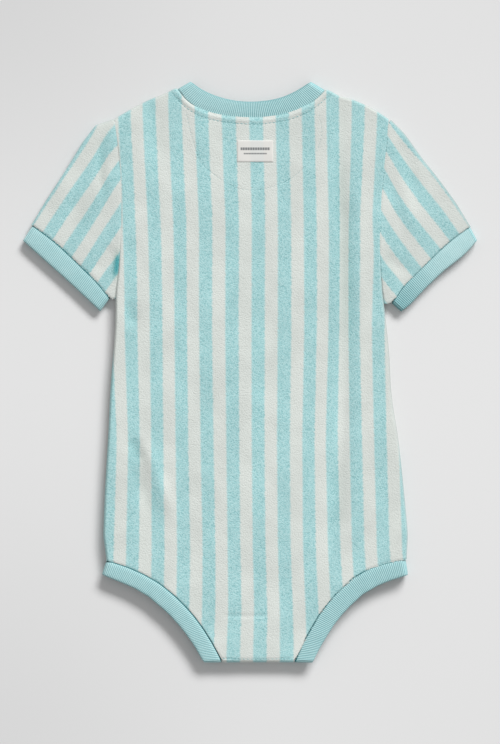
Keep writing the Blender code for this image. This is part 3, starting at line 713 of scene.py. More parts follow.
def panelGrid(name):
    # columns of points in plan on a panel, how far each is turned over, and its sewn edges
    (leftTop, rightTop), (leftHip, rightHip) = panel["shoulders"], panel["hips"]
    left = outline(name, leftTop, leftHip, -1)[::-1]
    right = outline(name, rightTop, rightHip, 1)[::-1]
    top = topEdge(name)
    low = lowEdge(name)
    shares, crotchShares = columnShares()
    topX = leftTop[0] + shares * (rightTop[0] - leftTop[0])
    lowX = leftHip[0] + shares * (rightHip[0] - leftHip[0])
    topY, lowY = np.interp(topX, top[:, 0], top[:, 1]), np.interp(lowX, low[:, 0], low[:, 1])
    tall = 400.0
    ends = np.array(panel["insets"]) / tall
    middle = np.linspace(ends[-1], 1 - ends[-1], round(tall / panel["cell"]))
    stops = np.concatenate([ends[:-1], middle, 1 - ends[-2::-1]])
    y = lowY[:, None] + stops[None, :] * (topY - lowY)[:, None]
    leftX = np.interp(y, left[:, 1], left[:, 0])
    rightX = np.interp(y, right[:, 1], right[:, 0])
    for middle, spread, leftOut, rightOut in panel["sidesOut"]:
        share = np.exp(-(((y - middle) / spread) ** 2))
        leftX = leftX - leftOut * share
        rightX = rightX + rightOut * share
    x = leftX + shares[:, None] * (rightX - leftX)
    sideTurns = 1 - smooth(y, panel["underarm"] - panel["underarmBlend"], panel["underarm"])
    neckAway = np.minimum(topX - panel["neckTips"][0], panel["neckTips"][1] - topX)
    topTurns = (1 - smooth(neckAway, 0, panel["neckBlend"]))[:, None]
    sideDrop = rollDrop(np.minimum(x - leftX, rightX - x)) * sideTurns
    topDrop = rollDrop(topY[:, None] - y) * topTurns
    level = (1 - sideDrop) * (1 - topDrop)
    # painted shade where the cloth is folded over, most on the edges that turn towards the light
    sideFold = (1 - np.clip(np.minimum(x - leftX, rightX - x) / panel["roll"], 0, 1)) * sideTurns
    topFold = (1 - np.clip((topY[:, None] - y) / panel["roll"], 0, 1)) * topTurns
    folded = sideFold * np.where(rightX - x < x - leftX, panel["folded"][1], panel["folded"][0])
    folded = np.maximum(folded, topFold * panel["folded"][2])
    neckLine = top[(top[:, 0] > panel["neckTips"][0]) & (top[:, 0] < panel["neckTips"][1])]
    legs = [low[low[:, 0] < panel["crotchTips"][0]], low[low[:, 0] > panel["crotchTips"][1]]]
    armholes = [line[line[:, 1] > panel["underarm"] - 12] for line in (left, right)]
    kinds = ("neck", "leg", "leg", "left", "right")
    seams = [(panel["seamDips"][kind], line) for kind, line in zip(kinds, (neckLine, *legs, *armholes))]
    return x, y, level, folded, (shares, crotchShares), seams


def topEdge(name):
    # shoulders and neckline, each smoothed on its own so that the neck tips stay sharp
    (start, end), (first, second) = panel["shoulders"], panel["neckTips"]
    rough = outline(name, start, end, 1, window=0.0, step=0.5)
    tips = [(x, np.interp(x, rough[:, 0], rough[:, 1])) for x in (first, second)]
    left, right = rough[rough[:, 0] < first], rough[rough[:, 0] > second]
    between = rough[(rough[:, 0] > first) & (rough[:, 0] < second)]
    parts = [(left, tips[:1]), (tips[:1], between, tips[1:]), (tips[1:], right)]
    top = np.vstack([softened(np.vstack(part), 9.0) for part in parts])
    away = np.minimum(np.abs(top[:, 0] - first), np.abs(top[:, 0] - second))
    outside = (top[:, 0] < first) | (top[:, 0] > second)
    top[:, 1] += outside * panel["tipRise"] * np.exp(-(((away - 3) / 4.5) ** 2))
    return top


def lowEdge(name):
    # leg openings and the edge of the crotch between them
    (start, end), (first, second) = panel["hips"], panel["crotchTips"]
    rough = outline(name, start, end, -1, window=0.0, step=0.5)
    radius = (panel["top"] + crotch["rise"] - crotch["tabBase"]) / 2
    if name == "back_panel":
        rough[:, 1] = np.maximum(rough[:, 1], crotch["fold"] + radius)
    left, right = rough[rough[:, 0] <= first], rough[rough[:, 0] >= second]
    between = rough[(rough[:, 0] > first) & (rough[:, 0] < second)]
    return np.vstack([softened(left, 9.0), between, softened(right, 9.0)])


def seamDip(points, seams):
    # drop of the cloth along its sewn edges, given as (depth, line)
    drop = np.zeros(len(points))
    for depth, line in seams:
        gap = nearLine(points, line[::2])[0]
        drop = np.maximum(drop, depth * np.exp(-((gap / panel["seamDipWidth"]) ** 2)))
    return drop


farAway = 50.0          # distance to a seam where there is none


def stitchMarks(points, lines, shades):
    # signed distance to the nearest line of stitching, and how strongly it shows close by
    gap, side, shade = np.full(len(points), farAway), np.ones(len(points)), np.zeros(len(points))
    for line, strength in zip(lines, shades):
        away, aside, along = nearLine(points, line)
        closer = away < gap
        gap, side = np.where(closer, away, gap), np.where(closer, aside, side)
        dotted = smooth(np.cos(2 * math.pi * along / stitching["pitch"]), -0.5, 0.6)
        blotched = smooth(uneven(along, 0 * along, 7.0, len(line)), -0.7, 0.5)
        shade = np.where(closer, strength * (0.25 + 0.75 * dotted) * (0.35 + 0.65 * blotched), shade)
    return gap * np.where(side == 0, 1, side), shade * (1 - smooth(gap, *stitching["near"]))


def grooved(points, lines, depths):
    # depth of the groove that each line of stitching presses into the pile
    drop = np.zeros(len(points))
    for line, depth in zip(lines, depths):
        gap, _, along = nearLine(points, line)
        pull = 0.75 + 0.35 * np.cos(2 * math.pi * along / stitching["pitch"])
        drop = np.maximum(drop, depth * pull * np.exp(-((gap / stitching["grooveWidth"]) ** 2)))
    return drop


def neckStitchLine(neckLine):
    # the topstitch keeps its distance from the seam and runs on to both shoulders
    heading = np.gradient(neckLine, axis=0)
    heading /= np.linalg.norm(heading, axis=1)[:, None]
    line = neckLine + stitching["neckInset"] * np.column_stack([heading[:, 1], -heading[:, 0]])
    return evenly(line, np.linspace(0, 1, 70))


def backHeight(x, y):
    # top of the back panel, without its turned edges
    points = np.column_stack([np.ravel(x), np.ravel(y)])
    fromFold = smooth(points[:, 1], crotch["fold"], crotch["fold"] + crotch["riseLength"])
    rise = crotch["rise"] * (1 - fromFold)
    rise += creased(points, backCreases)
    for height, size, seed in panel["swells"]:
        rise += height * unevenAt(points, size, seed)
    return panel["top"] + rise


def cutHoles(piece, places, radius, below):
    # round holes through the part of a sheet below a level, with the edge points drawn onto the circle
    shell = bmesh.new()
    shell.from_mesh(piece.data)
    for x, y in places:
        middle = Vector((x * mm, y * mm))
        inside = []
        for face in shell.faces:
            at = face.calc_center_median()
            if at.z < below * mm and (at.xy - middle).length < radius * mm:
                inside.append(face)
        gone = set(inside)
        rim = set()
        for edge in (edge for face in inside for edge in face.edges):
            if any(other not in gone for other in edge.link_faces):
                rim.update(edge.verts)
        bmesh.ops.delete(shell, geom=inside, context="FACES")
        for vert in rim:
            if vert.is_valid:
                away = vert.co.xy - middle
                away *= radius * mm / away.length
                vert.co.x, vert.co.y = middle.x + away.x, middle.y + away.y
    shell.to_mesh(piece.data)
    shell.free()


def makeBack(material):
    x, y, level, folded, (shares, crotchShares), seams = panelGrid("back_panel")
    columns, rows = x.shape
    points = np.column_stack([x.ravel(), y.ravel()])
    stitchLines = [neckStitchLine(seams[0][1]), curve(stitching["halfMoon"], 90)]
    stitchLines += [curve(stitching[name], 12) for name in ("placket", "crotchEdge")]
    seam, seamNear = stitchMarks(points, stitchLines, stitching["shades"])
    rise = backHeight(x, y) - seamDip(points, seams) - grooved(points, stitchLines, stitching["grooves"])
    neckGap = nearLine(points, seams[0][1])[0]
    swelling, place, spread = panel["beside"]
    rise += swelling * np.exp(-(((neckGap - place) / spread) ** 2))
    rise += panel["relief"] * np.random.default_rng(11).normal(size=len(points)).clip(-2, 2)
    z = panel["sideSeam"] + (rise - panel["sideSeam"]) * level.ravel()
    stripe = stripeNumber(points[:, 1], points[:, 0], backStripes)
    places = np.column_stack([points, z])
    faces = gridFaces(columns, rows)
    # the crotch tab: round the fold, then flat beneath
    tab = [i for i, share in enumerate(shares) if crotchShares[0] - 1e-6 <= share <= crotchShares[1] + 1e-6]
    previous = np.array(tab) * rows
    edgeTop = places[previous]
    path = [math.radians(90 - 180 * k / crotch["turns"]) for k in range(1, crotch["turns"] + 1)]
    layers, extra = [], []
    radius = (edgeTop[:, 2] - crotch["tabBase"]) / 2
    for turn in path:
        above = (1 + math.sin(turn)) / 2
        turnY = crotch["fold"] + radius * (1 - math.cos(turn))
        turnY = turnY + (edgeTop[:, 1] - crotch["fold"] - radius) * above
        layers.append(np.column_stack([edgeTop[:, 0], turnY, crotch["tabBase"] + 2 * radius * above]))
    last = layers[-1]
    flatRows = round((crotch["tabEnd"] - last[0, 1]) / panel["cell"])
    for share in np.linspace(0, 1, flatRows + 1)[1:]:
        moved = last.copy()
        moved[:, 1] = last[:, 1] + share * (crotch["tabEnd"] - last[:, 1])
        layers.append(moved)
    count = len(places)
    for _ in layers:
        numbers = np.arange(count, count + len(tab))
        extra.append(np.column_stack([numbers[:-1], numbers[1:], previous[1:], previous[:-1]]))
        previous, count = numbers, count + len(tab)
    tabPoints = np.vstack(layers)
    places = np.vstack([places, tabPoints])
    faces = np.vstack([faces] + extra)
    fill = len(tabPoints)
    tabStripe = stripeNumber(np.full(fill, crotch["lastStripes"]), tabPoints[:, 0], backStripes)
    marks = {
        "stripe": np.concatenate([stripe, tabStripe]),
        "seam": np.concatenate([seam, np.full(fill, farAway)]),
        "seamNear": np.concatenate([seamNear, np.zeros(fill)]),
        "napAndShade": np.concatenate([shadeAndNapOver(points, backShadeAndNap), np.zeros(fill)]),
        "folded": np.concatenate([folded.ravel(), np.zeros(fill)]),
    }
    piece = meshPiece("backPanel", places, faces, marks)
    cutHoles(piece, snap["places"], snap["tabHole"], crotch["tabBase"] + 0.5)
    thicken(piece, panel["wall"])
    dress(piece, material, "back_panel")
    return piece, stitchLines, [line for _, line in seams[:3]]


def makeFront(material):
    x, y, level, folded, _, seams = panelGrid("front_panel")
    columns, rows = x.shape
    points = np.column_stack([x.ravel(), y.ravel()])
    neckLine = neckStitchLine(seams[0][1])
    seam, seamNear = stitchMarks(points, [neckLine], [1.0])
    rise = np.maximum(creased(points, frontCreases), 0) + seamDip(points, seams)
    rise += grooved(points, [neckLine], [0.4])
    rise += 0.12 * (1 + unevenAt(points, 30, 7))
    rise += panel["relief"] * np.abs(np.random.default_rng(12).normal(size=len(points)).clip(-2, 2))
    turned = 1 - level.ravel()
    z = rise * (1 - turned) + (panel["sideSeam"] - 0.3) * turned
    marks = {
        "stripe": stripeNumber(points[:, 1], points[:, 0], frontStripes),
        "seam": seam,
        "seamNear": seamNear,
        "napAndShade": shadeAndNapOver(points, frontShadeAndNap),
        "folded": folded.ravel(),
    }
    faces = gridFaces(columns, rows)[:, ::-1]
    piece = meshPiece("frontPanel", np.column_stack([points, z]), faces, marks)
    cutHoles(piece, snap["places"], snap["flapHole"], crotch["tabBase"])
    thicken(piece, panel["wall"])
    dress(piece, material, "front_panel")
    return piece, neckLine


sleeves = {
    "left": {
        "out": -1,
        "tip": (-105.4, 195.0),
        "cuffTop": (-168.0, 113.2),
        "underarm": (-100.6, 91.0),
        "cuffEnd": (-103.9, 56.8),
        "foldFrom": (-145.9, 147.8),
        "foldHeading": (-0.534, -0.845),
        # by share along the fold: how much painted shade it gets there, and how far it stands out
        "folded": [(0, 0.8), (0.12, 0.7), (0.2, 0.25), (1, 0.25)],
        "bulge": [(0, 0), (0.12, 0.6), (0.3, 1.5), (0.5, 1.3), (0.8, 1.6), (1, 0.9)],
        "seamShows": 0.1,
        # by distance from the armhole: how far the middle of each stripe lies from the straight fold
        "stripes": {
            "stripes": (-1, 0, 1, 2, 3),
            "soft": 4.0,
            "rows": [
                (0.0, -6.6, 19.6, 34.0, 53.6, 72.6),
                (3.0, -6.2, 17.4, 33.2, 53.4, 72.2),
                (7.0, -5.8, 16.2, 33.0, 53.4, 72.2),
                (15.0, -3.1, 16.6, 34.2, 52.6, 71.0),
                (26.0, -2.7, 16.1, 34.4, 52.8, 70.4),
                (40.0, -3.1, 14.5, 33.8, 52.1, 70.0),
                (60.0, -3.7, 13.9, 33.2, 51.8, 69.8),
            ],
        },
        # painted shade along creases, where the nap is also parted; the deepest is in the crease at the
        # underarm
        "napAndShade": [
            {"line": [(-111, 190), (-114.5, 166), (-113, 134)], "width": 3.6, "strength": 0.5},
            {"line": [(-102.6, 93), (-102.8, 84), (-104.4, 72)], "width": 2.3, "strength": 5.2},
            {"line": [(-118, 150), (-126, 128), (-136, 108)], "width": 7.0, "strength": 0.2},
        ],
        "creases": [
            {
                "line": [(-110.5, 190), (-114.5, 170), (-115, 150), (-112.5, 132)],
                "width": 3.6, "height": -0.45, "lip": 0.2,
            },
            {"line": [(-128, 168), (-134, 140), (-138, 116)], "width": 8.0, "height": -0.5},
            {"line": [(-106, 100), (-113, 86), (-122, 76)], "width": 5.0, "height": -0.9},
        ],
    },
    "right": {
        "out": 1,
        "tip": (108.3, 194.2),
        "cuffTop": (169.1, 112.2),
        "underarm": (99.8, 91.0),
        "cuffEnd": (103.0, 53.0),
        "foldFrom": (144.0, 150.5),
        "foldHeading": (0.572, -0.820),
        "folded": [(0, 0.95), (1, 0.95)],
        "bulge": [(0, 0), (0.2, -0.4), (0.4, -0.9), (0.6, 0.0), (0.8, 1.0), (1, 0.3)],
        "seamShows": 0.6,
        "stripes": {
            "stripes": (-1, 0, 1, 2, 3),
            "soft": 4.0,
            "rows": [
                (0.0, 3.6, 17.2, 34.6, 56.0, 75.4),
                (4.0, 3.4, 17.2, 35.4, 56.2, 75.8),
                (10.0, 2.9, 17.9, 37.4, 56.7, 76.2),
                (20.0, 1.0, 18.3, 37.8, 55.8, 74.9),
                (32.0, -1.8, 18.2, 36.4, 55.2, 74.0),
                (48.0, -2.8, 16.3, 34.3, 53.8, 73.0),
            ],
        },
        # painted shade along creases, where the nap is also parted
        "napAndShade": [
            {"line": [(112, 184), (120, 160), (127, 136)], "width": 5.0, "strength": 0.25},
            {"line": [(105, 100), (107, 84), (108, 68)], "width": 4.0, "strength": 0.5},
        ],
        "creases": [
            {"line": [(113, 182), (122, 160), (128, 134)], "width": 6.0, "height": -0.5},
            {"line": [(106, 150), (112, 128), (118, 104)], "width": 5.0, "height": -0.4, "lip": 0.3},
            {"line": [(104, 92), (112, 82), (124, 78)], "width": 5.0, "height": -0.6},
        ],
    },
    "tops": (7.2, 5.1),     # outer face at the armhole and at the cuff
    "tuck": 0.6,            # how far the armhole edge goes under the body's
    "underarmTuck": 3.0,    # how much further at the underarm, and at the hem below it
    "hemTuck": 2.6,
    "dives": (0.35, 1.6),   # beyond the seam it goes down between these distances
    "diveDepth": 2.4,
    "hemDip": 0.3,          # how far the edge at the cuff is drawn down
    "ends": (0.0, 0.4, 1.0, 1.8),
    "roll": 2.2,            # how far in from the fold the cloth turns over
    "insets": (0.0, 0.06, 0.22, 0.5, 0.9, 1.45, 2.2, 3.3),
    "cell": 1.35,
}


def coons(first, last, start, end, across, along):
    # grid of plan points between four lines: first and last run along, start and end run across
    a, b = across[:, None, None], along[None, :, None]
    firstLine, lastLine = evenly(first, along), evenly(last, along)
    startLine, endLine = evenly(start, across), evenly(end, across)
    grid = (1 - a) * firstLine[None] + a * lastLine[None]
    grid = grid + (1 - b) * startLine[:, None] + b * endLine[:, None]
    corners = (1 - a) * (1 - b) * start[0] + a * (1 - b) * start[-1]
    return grid - corners - (1 - a) * b * end[0] - a * b * end[-1]


def sleeveInwards(side):
    # from the straight fold, across the stripes
    heading = np.array(sleeves[side]["foldHeading"])
    return np.array([-heading[1], heading[0]]) * -sleeves[side]["out"]


def sleeveEdges(side, name):
    # fold, underarm fold, armhole and hem of a sleeve, and the seam and the body's side over it
    s, out = sleeves[side], sleeves[side]["out"]
    fold = outline(name, s["tip"], s["cuffTop"], out, window=6.0)
    foldRun = runOf(fold) / runOf(fold)[-1]
    fold = fold - sleeveInwards(side) * np.interp(foldRun, *np.array(s["bulge"]).T)[:, None]
    under = outline(name, s["underarm"], s["cuffEnd"], -out, window=4.0)
    seamLine = outline(name, s["tip"], s["underarm"], -out)
    hem = outline(name, s["cuffTop"], s["cuffEnd"], out, window=6.0)
    # the armhole edge goes a little under the body's, and further at the underarm
    run = runOf(seamLine)
    tuck = sleeves["tuck"] * smooth(run, 0, 8)
    tuck = tuck + sleeves["underarmTuck"] * smooth(run, run[-1] - 16, run[-1])
    armhole = seamLine + np.column_stack([-out * tuck, 0 * tuck])
    # its underarm fold lies under the body's side
    sideLine = np.vstack([seamLine, under[1:]])
    underShare = runOf(under) / runOf(under)[-1]
    underTuck = tuck[-1] + (sleeves["hemTuck"] - tuck[-1]) * underShare
    under = under + np.column_stack([-out * underTuck, 0 * underShare])
    hem = np.vstack([fold[-1:], hem[1:], under[-1:]])
    armhole[0], under[0] = fold[0], armhole[-1]
    return fold, under, armhole, hem, seamLine, sideLine


def makeSleeve(side, material):
    s = sleeves[side]
    name = f"sleeve_{side}"
    out = s["out"]
    inwards = sleeveInwards(side)
    fold, under, armhole, hem, seamLine, sideLine = sleeveEdges(side, name)
    width = runOf(armhole)[-1]
    edge = np.array(sleeves["insets"]) / width
    middle = np.linspace(edge[-1], 1 - edge[-1], round(width / sleeves["cell"]))
    across = np.concatenate([edge[:-1], middle, 1 - edge[-2::-1]])
    length = runOf(fold)[-1]
    ends = np.array(sleeves["ends"]) / length
    middle = np.linspace(ends[-1], 1 - ends[-1], round(length * 0.8 / sleeves["cell"]))
    along = np.concatenate([ends[:-1], middle, 1 - ends[-2::-1]])
    grid = coons(fold, under, armhole, hem, across, along)
    columns, rows = len(across), len(along)
    points = grid.reshape(-1, 2)
    top, cuffTop = sleeves["tops"]
    half = (top + np.tile(along, columns) * (cuffTop - top)) / 2
    inset = np.minimum(nearLine(points, fold)[0], nearLine(points, under)[0])
    share = 1 - np.clip(inset / sleeves["roll"], 0, 1)
    lift = np.sqrt(1 - share**2.4)
    # painted shade along the fold, most where it turns towards the light
    folded = (1 - np.clip(nearLine(points, fold)[0] / sleeves["roll"], 0, 1)) ** 0.7
    folded *= np.interp(np.tile(along, columns), *np.array(s["folded"]).T)
    seamGap = nearLine(points, seamLine)[0]
    sideGap, seamSide, _ = nearLine(points, sideLine)
    dips = seamDip(points, [(panel["seamDips"][side], seamLine), (sleeves["hemDip"], hem)])
    diving = sleeves["diveDepth"] * smooth(sideGap, *sleeves["dives"])
    dips = np.where(seamSide * -out > 0, dips + diving, dips)
    rise = creased(points, s["creases"]) + 0.2 * unevenAt(points, 22, 5)
    rise += panel["relief"] * np.random.default_rng(13 + out).normal(size=len(points)).clip(-2, 2)
    upper = half + (half + rise - dips) * lift
    lowRise = np.maximum(-creased(points, s["creases"]), 0) * 0.6 + np.abs(rise) * 0.2
    lower = half - (half - lowRise - dips * 0.6) * lift
    away = (points - s["foldFrom"]) @ inwards
    stripe = stripeNumber(seamGap, away, s["stripes"])
    lowOnes = np.arange(columns - 2, 0, -1)
    lowNumbers = (lowOnes[:, None] * rows + np.arange(rows)).ravel()
    lowPlaces = np.column_stack([points[lowNumbers], lower[lowNumbers]])
    places = np.vstack([np.column_stack([points, upper]), lowPlaces])
    # beneath, the stripes run on round the fold
    lowStripe = 2 * stripeNumber(seamGap, np.zeros(len(points)), s["stripes"]) - stripe
    faces = gridFaces(2 * columns - 2, rows, closed=True)
    if out < 0:
        faces = faces[:, ::-1]
    fill = len(lowNumbers)
    # the armhole seam's dark line: pressed pile, and painted shade in its groove
    seamShows = s["seamShows"] * (1 - smooth(seamGap, 1.0, 2.2))
    marks = {
        "stripe": np.concatenate([stripe, lowStripe[lowNumbers]]),
        "seam": np.concatenate([seamGap * 2.0, np.full(fill, farAway)]),
        "seamNear": np.concatenate([seamShows, np.zeros(fill)]),
        "napAndShade": np.concatenate([shadeAndNapOver(points, s["napAndShade"]), np.zeros(fill)]),
        "folded": np.concatenate([folded, folded[lowNumbers]]),
    }
    piece = meshPiece(f"sleeve{side.title()}", places, faces, marks)
    thicken(piece, panel["wall"])
    dress(piece, material, name)
    s["seamLine"] = seamLine
    return {"piece": piece, "hem": hem}


rib = {
    "wale": 1.4,            # width of one rib
    "cuts": 5,    # columns of points to a rib
    "depth": 0.24,
    "wall": 1.8,
    "crown": 0.16,
    "squarer": 0.75,        # how far the edges keep their corners where a band turns over
    "tuck": 0.7,            # how far the sewn edge goes under the towelling
    "crotchEnd": (-221.0, -206.0),
    "upper": 4.0,           # a band's upper face lies above this
    "flatWindow": 6.0,      # length over which its edges are evened out, lying flat and turning over
    "turnWindow": 1.5,
    "floorGap": 0.03,       # it stays this far above the ground
}

# sunk: how deep a band starts at its seam; line: how dark the seam shows, partly as painted shade in its
# gap;
# open: how far the wales stand apart, at shares of the band's length, which also paints their valleys
# darker as shade;
# rim and the side rim: how much painted shade dims its yarn at the free edge, and on sides that turn over
# towards the light
bands = {
    "neckBand": {
        "sunk": 0.1, "line": 0.0, "tuck": 1.2, "rim": (1.6, 3.0), "sideRimShade": 3.4,
        "open": [(0, 0.35), (0.12, 0.4), (0.25, 0.65), (0.4, 0.55), (0.5, 0.4), (1, 0.4)],
    },
    "cuffLeft": {
        "sunk": 0.2, "line": 0.95,
        "open": [(0, 0.25), (0.2, 0.3), (0.4, 0.45), (0.5, 0.6), (1, 0.4)],
    },
    # the right cuff's open values also paint shade on the part of it that lies away from the light
    "cuffRight": {
        "sunk": 0.15, "line": 0.6, "sideRimShade": 2.6,
        "open": [(0, -0.45), (0.12, -0.3), (0.25, 0.2), (0.38, 1.0), (0.5, 1.6), (1, 0.5)],
    },
    "legBandLeft": {"sunk": 0.45, "line": 1.0, "crotchTuck": 1.5, "open": [(0, 0.45), (1, 0.45)]},
    "legBandRight": {"sunk": 0.45, "line": 0.8, "sideRimShade": 2.0, "open": [(0, 0.6), (1, 0.6)]},
}


def bandLines(name, limit=50.0):
    # the sewn edge and the free edge of a band's outer face, cut where it goes from flat to turning over
    shell = bmesh.new()
    shell.from_mesh(frame["nodes"][name].data)
    bmesh.ops.remove_doubles(shell, verts=shell.verts, dist=1e-6)
    shell.normal_update()
    shell.faces.ensure_lookup_table()
    # it grows from the face that looks up most
    first = max(shell.faces, key=lambda face: (
        round(face.normal.z, 3), round(face.calc_center_median().z, 6), face.calc_area()
    ))
    skin, queue = {first}, [first]
    while queue:
        face = queue.pop()
        for edge in face.edges:
            for other in edge.link_faces:
                if other not in skin and face.normal.angle(other.normal) < math.radians(limit):
                    skin.add(other)
                    queue.append(other)
    bmesh.ops.delete(shell, geom=[face for face in shell.faces if face not in skin], context="FACES")
    loops = []
    left = [edge for edge in shell.edges if edge.is_boundary]
    while left:
        edge = left.pop(0)
        chain = [edge.verts[0], edge.verts[1]]
        while chain[-1] is not chain[0]:
            edge = next(e for e in chain[-1].link_edges if e in left)
            left.remove(edge)
            chain.append(edge.other_vert(chain[-1]))
        loops.append(np.array([vert.co[:] for vert in chain]) / mm)
    shell.free()
    return loops


def cutAtCorners(loop, limit=55.0):
    # the two long sides of an open strip, from its one closed edge
    ring = loop[:-1]
    before, after = ring - np.roll(ring, 1, axis=0), np.roll(ring, -1, axis=0) - ring
    cosine = (before * after).sum(1) / np.linalg.norm(before, axis=1) / np.linalg.norm(after, axis=1)
    corners = [i for i in range(len(ring)) if cosine[i] < math.cos(math.radians(limit))]
    sides = []
    for start, end in zip(corners, corners[1:] + corners[:1]):
        count = (end - start) % len(ring)
        sides.append(ring[(start + np.arange(count + 1)) % len(ring)])
    sides.sort(key=lambda side: -runOf(side)[-1])
    return sides[:2]


def stretches(line):
    # parts of a line that keep their level, and parts that turn over
    flat = np.abs(np.diff(line[:, 2])) < 0.02
    cuts = [0] + [i for i in range(1, len(flat)) if flat[i] != flat[i - 1]] + [len(flat)]
    return [line[a : b + 1] for a, b in zip(cuts, cuts[1:])]


def startAtTop(loop):
    # a closed edge, from the start of its upper flat stretch
    ring = loop[:-1]
    top = ring[:, 2] > ring[:, 2].max() - 0.02
    start = next(i for i in range(len(ring)) if top[i] and not top[i - 1])
    turned = np.roll(ring, -start, axis=0)
    return np.vstack([turned, turned[:1]])


def bandEdges(name, heading):
    # matching sewn and free edges, with the upper stretch running along the heading
    loops = bandLines(name)
    closed = len(loops) == 2
    if closed:
        sides = []
        for loop in loops:
            line = startAtTop(loop)
            top = stretches(line)[0]
            if (top[-1, :2] - top[0, :2]) @ heading < 0:
                line = startAtTop(loop[::-1])
            sides.append(line)
    else:
        # an open band starts at the back
        sides = [side if side[0][2] > side[-1][2] else side[::-1] for side in cutAtCorners(loops[0])]
    return sides, closed


def bandProfile(band):
    # cuts across a band, from its sewn edge over the outer face and back along the inner one: distance
    # from the seam, share of the width added, depth, share of the ribs' height, darkness of the seam line
    # and painted shade at the rim
    wall, sunk, tuck = rib["wall"], band["sunk"], band.get("tuck", rib["tuck"])
    line, (edgeRimShade, turnedRimShade) = band["line"], band.get("rim", (0.0, 1.0))
    profile = [
        (-tuck, 0.0, -sunk - 0.1, 0.2, line, 0.0),
        (0.1, 0.0, -sunk, 0.35, line, 0.0),
        (0.7, 0.0, -0.45 * sunk, 0.7, 0.12 * line, 0.0),
        (1.2, 0.03, -0.1 * sunk, 0.9, 0.0, 0.0),
    ]
    for k in np.linspace(0.1, 0.84, 6):
        crown = rib["crown"] * math.sin(math.pi * (0.12 + 0.76 * k))
        profile.append((1.2 * (1 - k), k, crown, 1.0, 0.0, 0.0))
    return profile + [
        (-0.9, 1.0, -0.02, 1.0, 0.0, edgeRimShade),
        (-0.35, 1.0, -0.25, 1.0, 0.0, turnedRimShade),
        (0.0, 1.0, -0.9, 1.0, 0.0, turnedRimShade),
        (-0.35, 1.0, -wall + 0.25, 1.0, 0.0, turnedRimShade),
        (-0.9, 1.0, -wall, 0.7, 0.0, turnedRimShade),
        (0.0, 0.62, -wall, 0.6, 0.0, 0.0),
        (0.0, 0.3, -wall, 0.6, 0.0, 0.0),
        (0.2, 0.0, -wall, 0.2, line, 0.0),
        (-tuck, 0.0, -wall, 0.0, line, 0.0),
    ]


def bandStations(name, node, heading, seamSide):
    # matching places along the sewn edge and the free edge of a band
    sides, closed = bandEdges(node, np.array(heading))
    seamLine, rimLine = seamSide(sides)
    seamParts, rimParts = stretches(seamLine), stretches(rimLine)
    if len(seamParts) != len(rimParts):
        print("stretches differ", name, len(seamParts), len(rimParts))
    step = rib["wale"] / rib["cuts"]
    seam, rim = [], []
    for seamPart, rimPart in zip(seamParts, rimParts):
        length = (runOf(seamPart)[-1] + runOf(rimPart)[-1]) / 2
        shares = np.linspace(0, 1, max(4, round(length / step)) + 1)
        flat = abs(seamPart[0, 2] - seamPart[-1, 2]) < 0.02
        window = rib["flatWindow"] if flat else rib["turnWindow"]
        seam.append(softened(evenly(seamPart, shares), window)[:-1])
        rim.append(softened(evenly(rimPart, shares), window)[:-1])
    if not closed:
        seam.append(seamLine[-1:])
        rim.append(rimLine[-1:])
    seam, rim = np.vstack(seam), np.vstack(rim)
    # towards the crotch a leg band may go further under the back
    further = bands[name].get("crotchTuck", 0.0) * (1 - smooth(seam[:, 1], *rib["crotchEnd"]))
    further = further * (seam[:, 2] > rib["upper"])
    seam = seam + (seam - rim) / np.linalg.norm(rim - seam, axis=1)[:, None] * further[:, None]
    return seam, rim, closed


def bandRun(middle, closed):
    # length passed along a band at each station, in whole wales on a ring, and its direction there
    if not closed:
        return runOf(middle), np.gradient(middle, axis=0)
    steps = np.linalg.norm(np.roll(middle, -1, axis=0) - middle, axis=1)
    along = np.concatenate([[0], np.cumsum(steps)[:-1]])
    wales = round(steps.sum() / rib["wale"])
    along *= wales * rib["wale"] / steps.sum()
    return along, np.roll(middle, -1, axis=0) - np.roll(middle, 1, axis=0)


